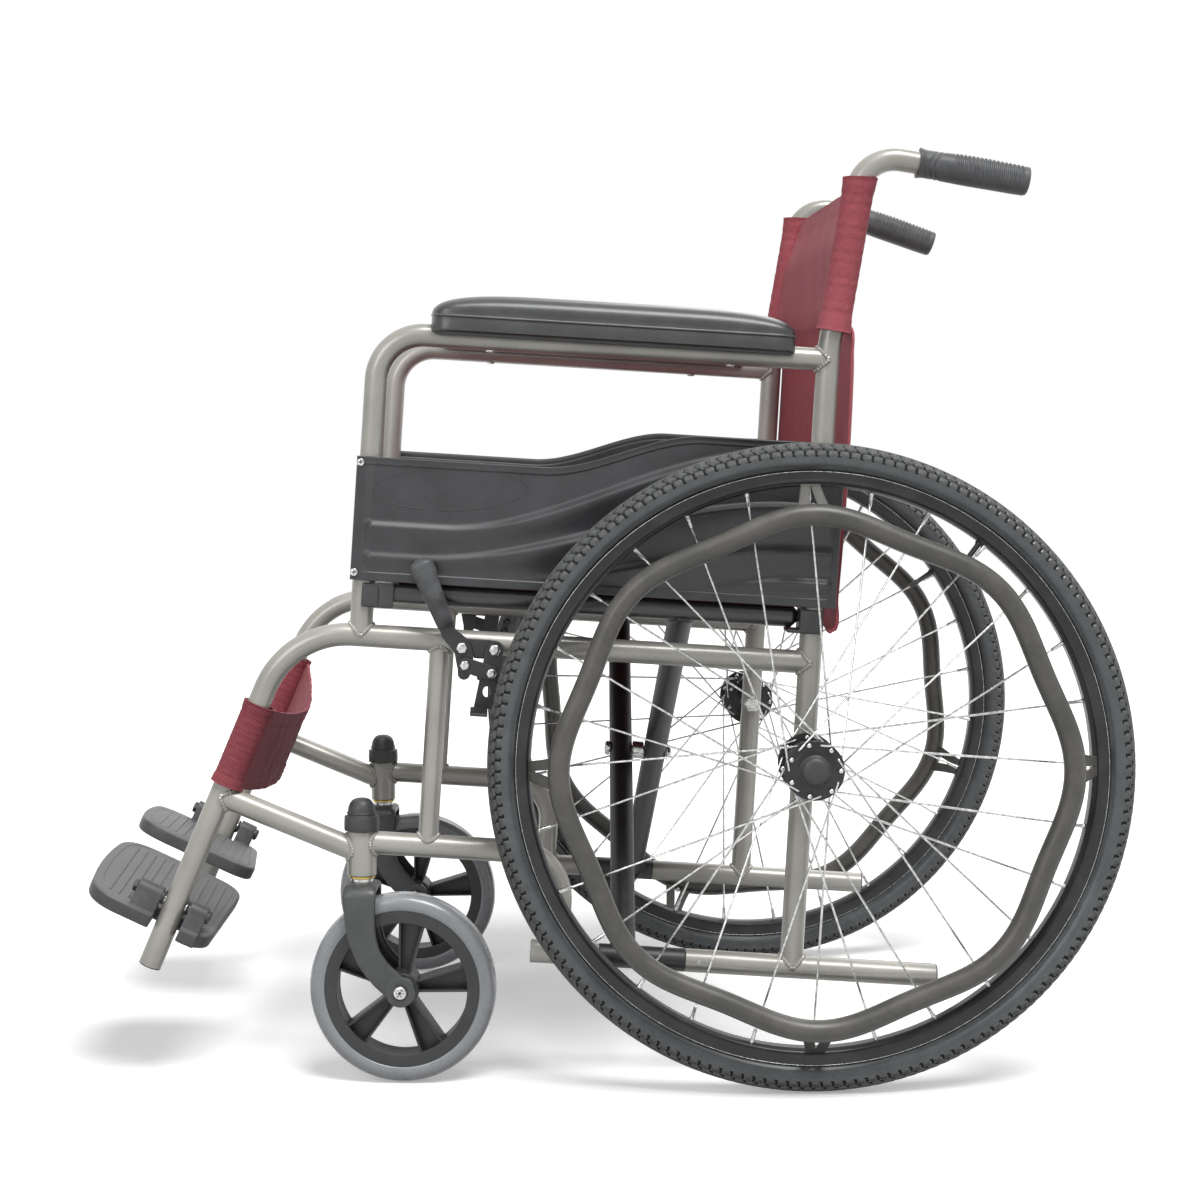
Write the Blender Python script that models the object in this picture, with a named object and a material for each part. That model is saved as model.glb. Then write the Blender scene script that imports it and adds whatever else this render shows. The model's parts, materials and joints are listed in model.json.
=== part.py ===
"""Folding wheelchair with wavy push rims, modelled piece by piece at its real size.

Metres, +Z up. The chair faces -Y, stands on Z = 0 and has its left side at +X. The welded side frames
lean back about the rear axle, so most of their sizes are given as a, back along the rails, and b, up
the posts, both from the axle. Everything is hung under one empty, which centres the chair on the origin.
"""

import math

import bmesh
import bpy
from mathutils import Matrix, Vector

# Clearances and smoothness
GAP = 0.0003
TUBE_SIDES = 10
PIN_SIDES = 8
ROUND_SIDES = 12
BEND_STEP = math.radians(15)

# Stance
TILT = math.radians(4.0)
FRAME_X = 0.230
WHEEL_FROM_FRAME = 0.0525
WHEEL_X = FRAME_X + WHEEL_FROM_FRAME
WHEEL_R = 0.305
TUBE_R = 0.0111
CASTER_Y = -0.427
BARREL_BOTTOM_Z = 0.197
BARREL_TOP_Z = 0.240

# Side frame: a and b of its corners, and the bend radii there
BOTTOM_RAIL_B = -0.201
BOTTOM_RAIL_FRONT_A = -0.252
BOTTOM_RAIL_REAR_A = 0.139
SEAT_RAIL_B = 0.093
HANGER_CORNER_A = -0.5030
HANGER_END_A = -0.6175
HANGER_END_B = -0.237
HANGER_BEND_R = 0.085
ARMREST_POST_A = -0.434
ARMREST_TUBE_B = 0.3855
ARMREST_BEND_R = 0.045
FRONT_POST_A = -0.357
FRONT_POST_R = 0.0096
LOWER_RAIL_DROP_A = -0.226
LOWER_RAIL_BEND_R = 0.045
STRUT_ON_HANGER = 0.1777
LOWER_RAIL_UNDER_BARREL_TOP = 0.0114
STRUT_UNDER_BARREL_TOP = 0.0219
LOWER_RAIL_Z = BARREL_TOP_Z - LOWER_RAIL_UNDER_BARREL_TOP
STRUT_Z = BARREL_TOP_Z - STRUT_UNDER_BARREL_TOP
LOWER_RAIL_B = CASTER_Y * math.sin(TILT) + (LOWER_RAIL_Z - WHEEL_R) * math.cos(TILT)
STRUT_AT_BARREL_B = CASTER_Y * math.sin(TILT) + (STRUT_Z - WHEEL_R) * math.cos(TILT)

# Rear post, cane and push handle
CANE_BEND_B = 0.395
CANE_BEND_R = 0.150
CANE_LEAN = math.radians(6.5)
CANE_LENGTH = 0.1925
HANDLE_SLOPES = {"right": math.radians(15.5), "left": math.radians(6.0)}
HANDLE_BEND_R = 0.037
GRIP_START = 0.0536
GRIP_END = 0.1610
GRIP_R = 0.0142
GRIP_END_WALL = 0.006

# Scissor: two braces, each with its hinge sleeve on one bottom rail and its seat tube over the other rail
SPINDLE_R = 0.0080
SLEEVE_FRONT_A = -0.186
SLEEVE_REAR_A = -0.103
BRACE_R = 0.0120
BRACE_END_SHORT = 0.006
BRACE_A_A = -0.126
BRACE_B_A = -0.162
SEAT_TUBE_B = 0.137
SEAT_TUBE_FRONT_A = -0.412
SEAT_TUBE_REAR_A = -0.0145
SEAT_TUBE_CHAMFER = 0.006
SEAT_TUBE_R = 0.0110
CENTRE_BOLT_R = 0.0040
CENTRE_BOLT_HEAD_R = 0.0075
CENTRE_BOLT_HEAD = 0.0050
CENTRE_SPACER_R = 0.0090
GUIDE_BOTTOM_B = 0.1215
GUIDE_TOP_B = 0.1445
GUIDE_WIDTH = 0.0290
GUIDE_FRONT_WALL = 0.0062
GUIDE_REAR_WALL = 0.0025
GUIDE_WRAP = 0.0032
GUIDE_REAR_WRAP = 0.0080
GUIDE_LEDGE = 0.0120

# Rear wheel, measured from its centre plane
WHEEL_SIDES = 44
TYRE_HEIGHT = 0.026
TYRE_HALF_WIDTH = 0.0175
RIM_WALL = 0.011
RIM_DEPTH = 0.015
RIM_R = WHEEL_R - TYRE_HEIGHT
TYRE_BEAD_R = RIM_R + GAP
RIM_WALL_R = RIM_R - RIM_WALL
RIM_INNER_R = RIM_R - RIM_DEPTH
RIM_HALF_WIDTH = 0.0120
RIM_INNER_HALF_WIDTH = 0.0060
HUB_HALF_WIDTH = 0.0300
FLANGE_R = 0.0310
FLANGE_X = 0.0270
FLANGE_THICKNESS = 0.0030
HUB_BODY_R = 0.0170
HUB_SIDES = 16
SPOKES_PER_FLANGE = 14
SPOKE_R = 0.0010
SPOKE_HOLE_R = 0.0265
SPOKE_FLANGE_OFFSET = 0.0013
SPOKE_RIM_X = 0.0035
SPOKE_RIM_OFFSET = 0.0015
SPOKE_CROSSING = 3
AXLE_R = 0.0060
AXLE_HEAD_R = 0.0100
AXLE_HEAD = 0.0050
AXLE_NUT_R = 0.0090
AXLE_NUT = 0.0045
SPACER_R = 0.0105
HUB_CAP_R = 0.0160
HUB_CAP_WALL = 0.0030
HANDRIM_X = 0.0415
HANDRIM_INSIDE_RIM = 0.0302
HANDRIM_R = RIM_INNER_R - HANDRIM_INSIDE_RIM
HANDRIM_WAVE = 0.0052
HANDRIM_LOBES = 8
HANDRIM_TUBE_R = 0.0102
HANDRIM_STEPS = 48
HANDRIM_SIDES = 6
HANDRIM_TABS = 4
TAB_THICKNESS = 0.0027
TAB_FOOT_WIDTH = 0.014
TAB_TOP_WIDTH = 0.020
RIGHT_WHEEL_TURN = math.radians(-19)

# Casters: the swivel axis stands at CASTER_Y behind the axle, and the wheel trails it
CASTER_TURN = math.radians(-4)
CASTER_TRAIL = 0.039
CASTER_R = 0.090
CASTER_SIDES = 32
CASTER_RIM_R = 0.0747
CASTER_RIM_INNER_R = 0.0640
CASTER_RIM_HALF_WIDTH = 0.0150
CASTER_TYRE_HALF_WIDTH = 0.0162
CASTER_HUB_R = 0.0160
CASTER_HUB_HALF_WIDTH = 0.0205
CASTER_SPOKES = 5
CASTER_SPOKE_TURN = math.radians(9)
CASTER_SPOKE_RIM_HALF = 0.0125
CASTER_SPOKE_HUB_HALF = 0.0050
CASTER_WEB = 0.0040
CASTER_RIB = 0.0022
CASTER_RIB_HALF_WIDTH = 0.0130
CASTER_AXLE_R = 0.0040
CASTER_BOLT_HEAD_R = 0.0065
CASTER_BOLT_HEAD = 0.0045
BARREL_R = 0.0140
STEM_R = 0.0090
COLLAR_R = 0.0115
FORK_TOP_Z = 0.190
FORK_CROWN = 0.009
FORK_LEG_INNER_X = 0.0215
FORK_LEG = 0.0070
CASTER_CAP_R = 0.0170
CASTER_CAP_BAND = 0.014
CASTER_DOME_R = 0.0135
CASTER_CAP_HEIGHT = 0.031

# Armrest pad and side panel
PAD_FRONT_A = -0.384
PAD_REAR_A = -0.033
PAD_BASE_B = ARMREST_TUBE_B + 0.0045
PAD_BAND = 0.014
PAD_CROWN = 0.024
PAD_HALF_WIDTH = 0.030
PANEL_FRONT_A = -0.447
PANEL_REAR_A = 0.020
PANEL_BOTTOM_B = 0.147
PANEL_FRONT_TOP_B = 0.266
PANEL_REAR_TOP_B = 0.305
PANEL_RISE_START_A = -0.268
PANEL_RISE_END_A = -0.115
PANEL_THICKNESS = 0.003

# Footplate, measured from its pin: s back along its slope, n square to it, out from the centre plane
PIN_ON_HANGER = 0.0648
PIN_R = 0.0040
PIN_HEAD_R = 0.0065
PIN_HEAD = 0.0040
PIN_WASHER_R = 0.0075
PLATE_SLOPE = math.radians(25.4)
PLATE_CANT = math.radians(4.8)
PLATE_GAP_HALF = 0.053
PLATE_INNER = PLATE_GAP_HALF - FRAME_X
PLATE_OUTER = 0.017
PLATE_FRONT = -0.079
PLATE_REAR_OUTER = 0.042
PLATE_REAR_INNER = 0.054
PLATE_BULGE = 0.008
PLATE_CORNER_R = 0.032
PLATE_TOP = -0.0147
PLATE_BOTTOM = -0.0297
PLATE_EDGE = 0.003
NOTCH_HALF = 0.0145
LUG_FRONT = -0.040
LUG_REAR = 0.033
LUG_TOP_R = 0.0090

# Brake: a and b of its pivots, which stand off the tyre, and how far out its plates stand
BRAKE_FROM_TYRE = 0.0305
BRAKE_A = -WHEEL_R - BRAKE_FROM_TYRE
LEVER_PIVOT = (BRAKE_A, 0.0885)
ARM_PIVOT = (BRAKE_A + 0.0314, 0.0883)
LINK_ON_LEVER = (BRAKE_A + 0.0039, 0.0724)
LINK_ON_ARM = (BRAKE_A + 0.0295, 0.0661)
LEVER_NECK = (BRAKE_A - 0.0133, 0.1019)
LEVER_TOP = (BRAKE_A - 0.0389, 0.1616)
SHOE = (BRAKE_A + 0.0230, 0.0290)
BRAKE_PLATE = 0.0030
BRACKET_X = FRAME_X + 0.0125
LEVER_X = BRACKET_X + 0.0035
LINK_X = LEVER_X + 0.0035
SHOE_OUTER_X = WHEEL_X + 0.0140
SHOE_DEPTH = 0.0100
SHOE_HEIGHT = 0.0125
BRAKE_PLATE_HALF = 0.0085
BRAKE_PIN_R = 0.0040
BRAKE_HEAD_R = 0.0068
BRAKE_HEAD = 0.0045
LEVER_GRIP_R = 0.0095

# Upholstery
CLOTH = 0.0030
SLEEVE_CLOTH = 0.0022
SEAT_SAG = 0.018
SEAT_EDGE_X = FRAME_X + 0.007
BACK_BOTTOM_B = 0.125
BACK_SLEEVE_B = 0.404
BACK_SAG = 0.026
BACK_FOLD = 0.0035
BACK_SLACK = 0.008
CALF_FROM = 0.190
CALF_TO = 0.272
CALF_SAG = 0.020

# Colours, as red, green and blue from 0 to 255, then roughness and how metallic
FINISHES = {
    "champagne_paint": ((166, 163, 152), 0.38, 0.6),
    "black_paint": ((45, 46, 48), 0.42, 0.1),
    "zinc": ((190, 190, 188), 0.30, 1.0),
    "tyre_rubber": ((72, 76, 77), 0.75, 0.0),
    "black_alloy": ((45, 46, 47), 0.35, 0.6),
    "taupe_vinyl": ((90, 88, 83), 0.45, 0.0),
    "grey_rubber": ((138, 141, 145), 0.55, 0.0),
    "black_plastic": ((60, 61, 62), 0.50, 0.0),
    "panel_plastic": ((66, 67, 69), 0.45, 0.0),
    "grip_rubber": ((62, 63, 66), 0.60, 0.0),
    "pad_vinyl": ((60, 62, 64), 0.50, 0.0),
    "grey_plastic": ((92, 92, 93), 0.55, 0.0),
    "burgundy_nylon": ((155, 70, 82), 0.80, 0.0),
}

SIDES = {"right": -1, "left": 1}


def clear_scene():
    for obj in list(bpy.data.objects):
        bpy.data.objects.remove(obj)


def linear(level):
    """A colour level from 0 to 255, as linear light."""
    share = level / 255
    return share / 12.92 if share < 0.04045 else ((share + 0.055) / 1.055) ** 2.4


def make_finish(name):
    colour, roughness, metallic = FINISHES[name]
    finish = bpy.data.materials.new(name)
    finish.use_nodes = True
    shader = finish.node_tree.nodes["Principled BSDF"]
    shader.inputs["Base Color"].default_value = (*(linear(c) for c in colour), 1)
    shader.inputs["Roughness"].default_value = roughness
    shader.inputs["Metallic"].default_value = metallic
    return finish


def at(a, b, x=0.0):
    """The place of side-frame sizes a and b, with x out from the chair's centre plane."""
    c, s = math.cos(TILT), math.sin(TILT)
    return Vector((x, a * c + b * s, WHEEL_R + b * c - a * s))


def along_rails():
    """The direction in which a grows."""
    return (at(1, 0) - at(0, 0)).normalized()


def hole_r(radius, sides):
    """The corner radius of a hole whose flats clear a shaft of this radius."""
    return (radius + GAP) / math.cos(math.pi / sides)


def new_object(bm):
    """The mesh as an object, closed and facing out."""
    bmesh.ops.recalc_face_normals(bm, faces=bm.faces)
    mesh = bpy.data.meshes.new("shape")
    bm.to_mesh(mesh)
    bm.free()
    obj = bpy.data.objects.new("shape", mesh)
    bpy.context.collection.objects.link(obj)
    return obj


def loft(loops, ring=False):
    """A skin over loops of equal length. It is capped at both ends, or joined end to end as a ring."""
    bm = bmesh.new()
    rows = [[bm.verts.new(point) for point in loop] for loop in loops]
    count = len(rows[0])
    pairs = list(zip(rows, rows[1:]))
    if ring:
        pairs.append((rows[-1], rows[0]))
    else:
        bm.faces.new(rows[0])
        bm.faces.new(rows[-1])
    for row, other in pairs:
        for i in range(count):
            j = (i + 1) % count
            bm.faces.new((row[i], row[j], other[j], other[i]))
    return new_object(bm)


def turned(profile, origin, axis, sides, phase=0.0, ring=False):
    """A profile of (distance along the axis, radius) turned about it. A ring's profile is a closed loop."""
    axis = axis.normalized()
    across = axis.orthogonal() if abs(axis.x) < 0.9 else Vector((0, 1, 0))
    across = (across - across.dot(axis) * axis).normalized()
    third = axis.cross(across)
    bm = bmesh.new()
    rows = []
    for distance, radius in profile:
        centre = origin + axis * distance
        turns = [phase + math.tau * k / sides for k in range(sides)]
        spots = [centre + radius * (across * math.cos(t) + third * math.sin(t)) for t in turns]
        rows.append([bm.verts.new(p) for p in (spots if radius else [centre])])
    pairs = list(zip(rows, rows[1:])) + ([(rows[-1], rows[0])] if ring else [])
    for row, other in pairs:
        for i in range(sides):
            j = (i + 1) % sides
            corners = [row[i % len(row)], row[j % len(row)], other[j % len(other)], other[i % len(other)]]
            bm.faces.new(dict.fromkeys(corners))
    for row in (rows[0], rows[-1]):
        if not ring and len(row) > 1:
            bm.faces.new(row)
    return new_object(bm)


def bent(corners, *radii):
    """A centre line through the corners, with each inner corner rounded to its bend radius."""
    points = [corners[0]]
    for before, corner, after, radius in zip(corners, corners[1:], corners[2:], radii):
        back, on = (before - corner).normalized(), (after - corner).normalized()
        turn = math.pi - back.angle(on)
        reach = radius * math.tan(turn / 2)
        centre = corner + (back + on).normalized() * radius / math.cos(turn / 2)
        first, last = corner + back * reach - centre, corner + on * reach - centre
        first, last = first.normalized(), last.normalized()
        steps = max(1, round(turn / BEND_STEP))
        points += [centre + first.slerp(last, k / steps) * radius for k in range(steps + 1)]
    return points + [corners[-1]]


def tube(points, radius, sides=TUBE_SIDES):
    """A round bar along the points, its sections kept parallel to the X axis."""
    loops = []
    for i, point in enumerate(points):
        before, after = points[max(i - 1, 0)], points[min(i + 1, len(points) - 1)]
        direction = (after - before).normalized()
        across = Vector((1, 0, 0))
        if abs(direction.x) > 0.5:
            across = along_rails()
        across = (across - across.dot(direction) * direction).normalized()
        third = direction.cross(across)
        turns = [math.tau * (k + 0.5) / sides for k in range(sides)]
        loops.append([point + radius * (across * math.cos(t) + third * math.sin(t)) for t in turns])
    return loft(loops)


def tube_cutter(points, radius):
    """A bar that leaves clearance round a tube of this radius on the same centre line."""
    return tube(points, hole_r(radius, TUBE_SIDES))


def prism(outline, low, high):
    """An outline of points, closed, pushed from one offset to the other."""
    return loft([[p + low for p in outline], [p + high for p in outline]])


def box(low, high):
    """A block between two corners."""
    square = [(low[1], low[2]), (high[1], low[2]), (high[1], high[2]), (low[1], high[2])]
    return loft([[Vector((x, y, z)) for y, z in square] for x in (low[0], high[0])])


def settle(obj):
    """Keeps what the modifiers of an object make of it, as its mesh."""
    graph = bpy.context.evaluated_depsgraph_get()
    mesh = bpy.data.meshes.new_from_object(obj.evaluated_get(graph))
    obj.modifiers.clear()
    obj.data = mesh


def apply_shapes(obj, operation, others):
    """Adds each of the other shapes to the object, or cuts it out."""
    for other in others:
        step = obj.modifiers.new(operation, "BOOLEAN")
        step.operation = operation
        step.solver = "EXACT"
        step.object = other
        other.hide_render = True
        other.display_type = "WIRE"
        settle(obj)
        bpy.data.objects.remove(other)
    return obj


def joined(obj, *others):
    return apply_shapes(obj, "UNION", others)


def cut(obj, *others):
    return apply_shapes(obj, "DIFFERENCE", others)


def moved(obj, matrix):
    """Moves an object's mesh, so that its own place stays at the origin."""
    obj.data.transform(matrix)
    if matrix.determinant() < 0:
        obj.data.flip_normals()
    return obj


class Body:
    """An empty on a joint's axis, which carries the pieces that move together."""

    def __init__(self, name, pivot, parent=None):
        self.pivot = pivot
        self.empty = bpy.data.objects.new(name, None)
        self.empty.empty_display_size = 0.03
        bpy.context.collection.objects.link(self.empty)
        if parent:
            self.empty.parent = parent.empty
            self.empty.location = pivot - parent.pivot

    def carry(self, name, obj, finish):
        """Names a piece, gives it its finish and hangs it under this body."""
        obj.data.transform(Matrix.Translation(-self.pivot))
        obj.parent = self.empty
        obj.name = obj.data.name = name
        obj.data.materials.clear()
        obj.data.materials.append(finish)
        obj.data.shade_smooth()
        obj.data.set_sharp_from_angle(angle=math.radians(35))


# Centre lines of the side frame's tubes, which the pieces fitted to them also use


def bottom_rail_line(x):
    return [at(BOTTOM_RAIL_FRONT_A, BOTTOM_RAIL_B, x), at(BOTTOM_RAIL_REAR_A, BOTTOM_RAIL_B, x)]


def cane_top(x):
    """Where the centre lines of the cane and the push handle cross, and the handle's direction."""
    corner = at(CANE_LENGTH * math.sin(CANE_LEAN), CANE_BEND_B + CANE_LENGTH * math.cos(CANE_LEAN), x)
    slope = HANDLE_SLOPES["left" if x > 0 else "right"]
    direction = at(math.cos(slope), -math.sin(slope)) - at(0, 0)
    return corner, direction


def cane_line(x):
    corner, direction = cane_top(x)
    end = corner + direction * (GRIP_END - GRIP_END_WALL - GAP)
    corners = [at(0, BOTTOM_RAIL_B, x), at(0, CANE_BEND_B, x), corner, end]
    return bent(corners, CANE_BEND_R, HANDLE_BEND_R)


def armrest_line(x):
    corners = [
        at(ARMREST_POST_A, SEAT_RAIL_B, x),
        at(ARMREST_POST_A, ARMREST_TUBE_B, x),
        at(0, ARMREST_TUBE_B, x),
    ]
    return bent(corners, ARMREST_BEND_R)


def seat_rail_line(x):
    corners = [at(0, SEAT_RAIL_B, x), at(HANGER_CORNER_A, SEAT_RAIL_B, x), hanger_end(x)]
    return bent(corners, HANGER_BEND_R)


def hanger_end(x):
    return at(HANGER_END_A, HANGER_END_B, x)


def on_hanger(distance, x):
    """A point of the hanger's centre line, this far up from its lower end."""
    corner = at(HANGER_CORNER_A, SEAT_RAIL_B, x)
    return hanger_end(x) + (corner - hanger_end(x)).normalized() * distance


def barrel_a(b):
    """The a of the caster barrel's axis, which stands upright, where its b is this."""
    return (CASTER_Y - b * math.sin(TILT)) / math.cos(TILT)


def lower_rail_line(x):
    corners = [
        at(barrel_a(LOWER_RAIL_B), LOWER_RAIL_B, x),
        at(LOWER_RAIL_DROP_A, LOWER_RAIL_B, x),
        at(LOWER_RAIL_DROP_A, BOTTOM_RAIL_B, x),
    ]
    return bent(corners, LOWER_RAIL_BEND_R)


def seat_tube_line(x):
    return [at(SEAT_TUBE_FRONT_A, SEAT_TUBE_B, x), at(SEAT_TUBE_REAR_A, SEAT_TUBE_B, x)]


# Side frame


def rear_cane(x):
    """Rear post, cane and push handle: one bent tube, standing on the bottom rail and bored for the axle."""
    post = tube(cane_line(x), TUBE_R)
    outward = Vector((math.copysign(1, x), 0, 0))
    bore_r, reach = hole_r(AXLE_R, PIN_SIDES), 2 * TUBE_R
    bore = turned([(-reach, bore_r), (reach, bore_r)], at(0, 0, x), outward, PIN_SIDES)
    return cut(post, tube_cutter(bottom_rail_line(x), TUBE_R), bore)


def armrest_tube(x):
    """Front armrest post and the rail under the pad, fitted to the seat rail and the rear post."""
    seat_rail = tube_cutter(seat_rail_line(x), TUBE_R)
    return cut(tube(armrest_line(x), TUBE_R), seat_rail, tube_cutter(cane_line(x), TUBE_R))


def seat_rail(x):
    """Seat rail bent down into the footrest hanger, with a hole for the footplate's pin."""
    hole = turned(
        [(-2 * TUBE_R, hole_r(PIN_R, PIN_SIDES)), (2 * TUBE_R, hole_r(PIN_R, PIN_SIDES))],
        on_hanger(PIN_ON_HANGER, x),
        plate_axes()[1],
        PIN_SIDES,
    )
    rail = tube(seat_rail_line(x), TUBE_R)
    return cut(rail, tube_cutter(cane_line(x), TUBE_R), hole)


def bottom_rail(x):
    """Bottom rail, turned down to a spindle where the brace's sleeve swings on it."""
    profile = [
        (BOTTOM_RAIL_FRONT_A, TUBE_R),
        (SLEEVE_FRONT_A - GAP, TUBE_R),
        (SLEEVE_FRONT_A - GAP, SPINDLE_R),
        (SLEEVE_REAR_A + GAP, SPINDLE_R),
        (SLEEVE_REAR_A + GAP, TUBE_R),
        (BOTTOM_RAIL_REAR_A, TUBE_R),
    ]
    return turned(profile, at(0, BOTTOM_RAIL_B, x), along_rails(), TUBE_SIDES)


def front_frame(x):
    """Lower rail, front post, oblique strut and caster barrel, welded into one."""
    up = Vector((0, 0, 1))
    foot = Vector((x, CASTER_Y, 0))
    barrel = turned([(BARREL_BOTTOM_Z, BARREL_R), (BARREL_TOP_Z, BARREL_R)], foot, up, ROUND_SIDES)
    rail = tube(lower_rail_line(x), TUBE_R)
    post = tube([at(FRONT_POST_A, LOWER_RAIL_B, x), at(FRONT_POST_A, SEAT_RAIL_B, x)], FRONT_POST_R)
    strut_end = at(barrel_a(STRUT_AT_BARREL_B), STRUT_AT_BARREL_B, x)
    strut = tube([on_hanger(STRUT_ON_HANGER, x), strut_end], TUBE_R)
    bore_r, over = hole_r(STEM_R, ROUND_SIDES), 0.01
    ends = [(BARREL_BOTTOM_Z - over, bore_r), (BARREL_TOP_Z + over, bore_r)]
    bore = turned(ends, foot, up, ROUND_SIDES)
    seat_rail_cut = tube_cutter(seat_rail_line(x), TUBE_R)
    bottom_rail_cut = tube_cutter(bottom_rail_line(x), TUBE_R)
    return cut(joined(barrel, rail, post, strut), bore, seat_rail_cut, bottom_rail_cut)


def push_grip(x):
    """Ribbed rubber grip, a blind sleeve over the end of the push handle."""
    corner, direction = cane_top(x)
    length, bore = GRIP_END - GRIP_START, hole_r(TUBE_R, TUBE_SIDES)
    profile = [
        (length, 0),
        (length, GRIP_R - 0.003),
        (length - 0.004, GRIP_R),
        (length * 0.6, GRIP_R + 0.0004),
        (length * 0.25, GRIP_R - 0.0008),
        (0.003, GRIP_R),
        (0, GRIP_R - 0.001),
        (0, bore),
        (length - GRIP_END_WALL, bore),
        (length - GRIP_END_WALL, 0),
    ]
    return turned(profile, corner + direction * GRIP_START, direction, ROUND_SIDES)


def armrest_pad(x):
    """Padded rest: a flat base and a band, under a crown that falls to both rounded ends."""
    half = (PAD_REAR_A - PAD_FRONT_A) / 2
    middle = (PAD_REAR_A + PAD_FRONT_A) / 2
    loops = []
    for t in (-1, -0.985, -0.95, -0.88, -0.7, -0.35, 0, 0.35, 0.7, 0.88, 0.95, 0.985, 1):
        width = PAD_HALF_WIDTH * (1 - 0.45 * abs(t) ** 24)
        crown = PAD_CROWN * (1 - 0.75 * abs(t) ** 6)
        loop = [(-width, 0), (width, 0), (width, PAD_BAND)]
        turns = [math.pi * k / 6 for k in range(1, 6)]
        loop += [(width * math.cos(u), PAD_BAND + crown * math.sin(u) ** 0.7) for u in turns]
        loop.append((-width, PAD_BAND))
        loops.append([at(middle + half * t, PAD_BASE_B + b, x + w) for w, b in loop])
    return cut(loft(loops), tube_cutter(armrest_line(x), TUBE_R))


def side_panel(x):
    """Moulded skirt guard outside the posts, its top edge rising in an S towards the back."""
    outline = [
        (PANEL_FRONT_A, PANEL_BOTTOM_B),
        (PANEL_REAR_A, PANEL_BOTTOM_B),
        (PANEL_REAR_A, PANEL_REAR_TOP_B),
    ]
    steps = 8
    for k in range(steps + 1):
        t = k / steps
        a = PANEL_RISE_END_A + (PANEL_RISE_START_A - PANEL_RISE_END_A) * t
        fall = t * t * (3 - 2 * t)
        b = PANEL_REAR_TOP_B + (PANEL_FRONT_TOP_B - PANEL_REAR_TOP_B) * fall
        outline.append((a, b))
    outline.append((PANEL_FRONT_A, PANEL_FRONT_TOP_B))
    inner = math.copysign(FRAME_X + TUBE_R + GAP, x)
    across = Vector((math.copysign(PANEL_THICKNESS, x), 0, 0))
    return prism([at(a, b, inner) for a, b in outline], Vector(), across)


def seat_guide(x, front_a, rear_a, ledge_a):
    """Plastic clip on a post, with a ledge under the end of the seat tube that reaches as far as ledge_a."""
    half, ledge_top = GUIDE_WIDTH / 2, SEAT_TUBE_B - hole_r(SEAT_TUBE_R, TUBE_SIDES)

    def block(start, end, top):
        outline = [(-half, top), (-half, GUIDE_BOTTOM_B), (half, GUIDE_BOTTOM_B), (half, top)]
        corners = [at(start, b, x + w) for w, b in outline]
        return prism(corners, Vector(), along_rails() * (end - start))

    middle = (front_a + rear_a) / 2
    ledge = block(min(middle, ledge_a), max(middle, ledge_a), ledge_top)
    posts = (tube_cutter(armrest_line(x), TUBE_R), tube_cutter(cane_line(x), TUBE_R))
    return cut(joined(block(front_a, rear_a, GUIDE_TOP_B), ledge), *posts)


# Scissor


def cross_brace(low_x, a):
    """A brace from its hinge sleeve on one bottom rail up to its seat tube over the other rail."""
    length = SLEEVE_REAR_A - SLEEVE_FRONT_A
    start = at(SLEEVE_FRONT_A, BOTTOM_RAIL_B, low_x)
    sleeve = turned([(0, TUBE_R), (length, TUBE_R)], start, along_rails(), TUBE_SIDES)
    low, high = at(a, BOTTOM_RAIL_B, low_x), at(a, SEAT_TUBE_B, -low_x)
    brace = tube([low, high + (low - high).normalized() * BRACE_END_SHORT], BRACE_R)
    end, reach = SEAT_TUBE_CHAMFER, SEAT_TUBE_REAR_A - SEAT_TUBE_FRONT_A
    profile = [(0, SEAT_TUBE_R - end), (end, SEAT_TUBE_R), (reach - end, SEAT_TUBE_R), (reach, SEAT_TUBE_R - end)]
    seat_tube = turned(profile, seat_tube_line(-low_x)[0], along_rails(), TUBE_SIDES)
    bore_r = hole_r(SPINDLE_R, TUBE_SIDES)
    bore = turned([(-GAP, bore_r), (length + GAP, bore_r)], start, along_rails(), TUBE_SIDES)
    bolt_r = hole_r(CENTRE_BOLT_R, PIN_SIDES)
    reach = 2 * BRACE_R
    hole = turned([(-reach, bolt_r), (reach, bolt_r)], scissor_centre(a), along_rails(), PIN_SIDES)
    return cut(joined(brace, sleeve, seat_tube), bore, hole)


def scissor_centre(a=0.0):
    """The middle of the braces, where they are bolted together."""
    return at(a, (BOTTOM_RAIL_B + SEAT_TUBE_B) / 2)


def centre_bolt():
    """Bolt through both braces, with a spacer between them."""
    front, rear = BRACE_B_A - BRACE_R - GAP, BRACE_A_A + BRACE_R + GAP
    between_front, between_rear = BRACE_B_A + BRACE_R + GAP, BRACE_A_A - BRACE_R - GAP
    profile = [
        (front - CENTRE_BOLT_HEAD, 0),
        (front - CENTRE_BOLT_HEAD, CENTRE_BOLT_HEAD_R),
        (front, CENTRE_BOLT_HEAD_R),
        (front, CENTRE_BOLT_R),
        (between_front, CENTRE_BOLT_R),
        (between_front, CENTRE_SPACER_R),
        (between_rear, CENTRE_SPACER_R),
        (between_rear, CENTRE_BOLT_R),
        (rear, CENTRE_BOLT_R),
        (rear, CENTRE_BOLT_HEAD_R),
        (rear + CENTRE_BOLT_HEAD, CENTRE_BOLT_HEAD_R),
        (rear + CENTRE_BOLT_HEAD, 0),
    ]
    return turned(profile, scissor_centre(), along_rails(), PIN_SIDES)


# Rear wheel


def wheel_centre(side):
    return Vector((side * WHEEL_X, 0, WHEEL_R))


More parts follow.
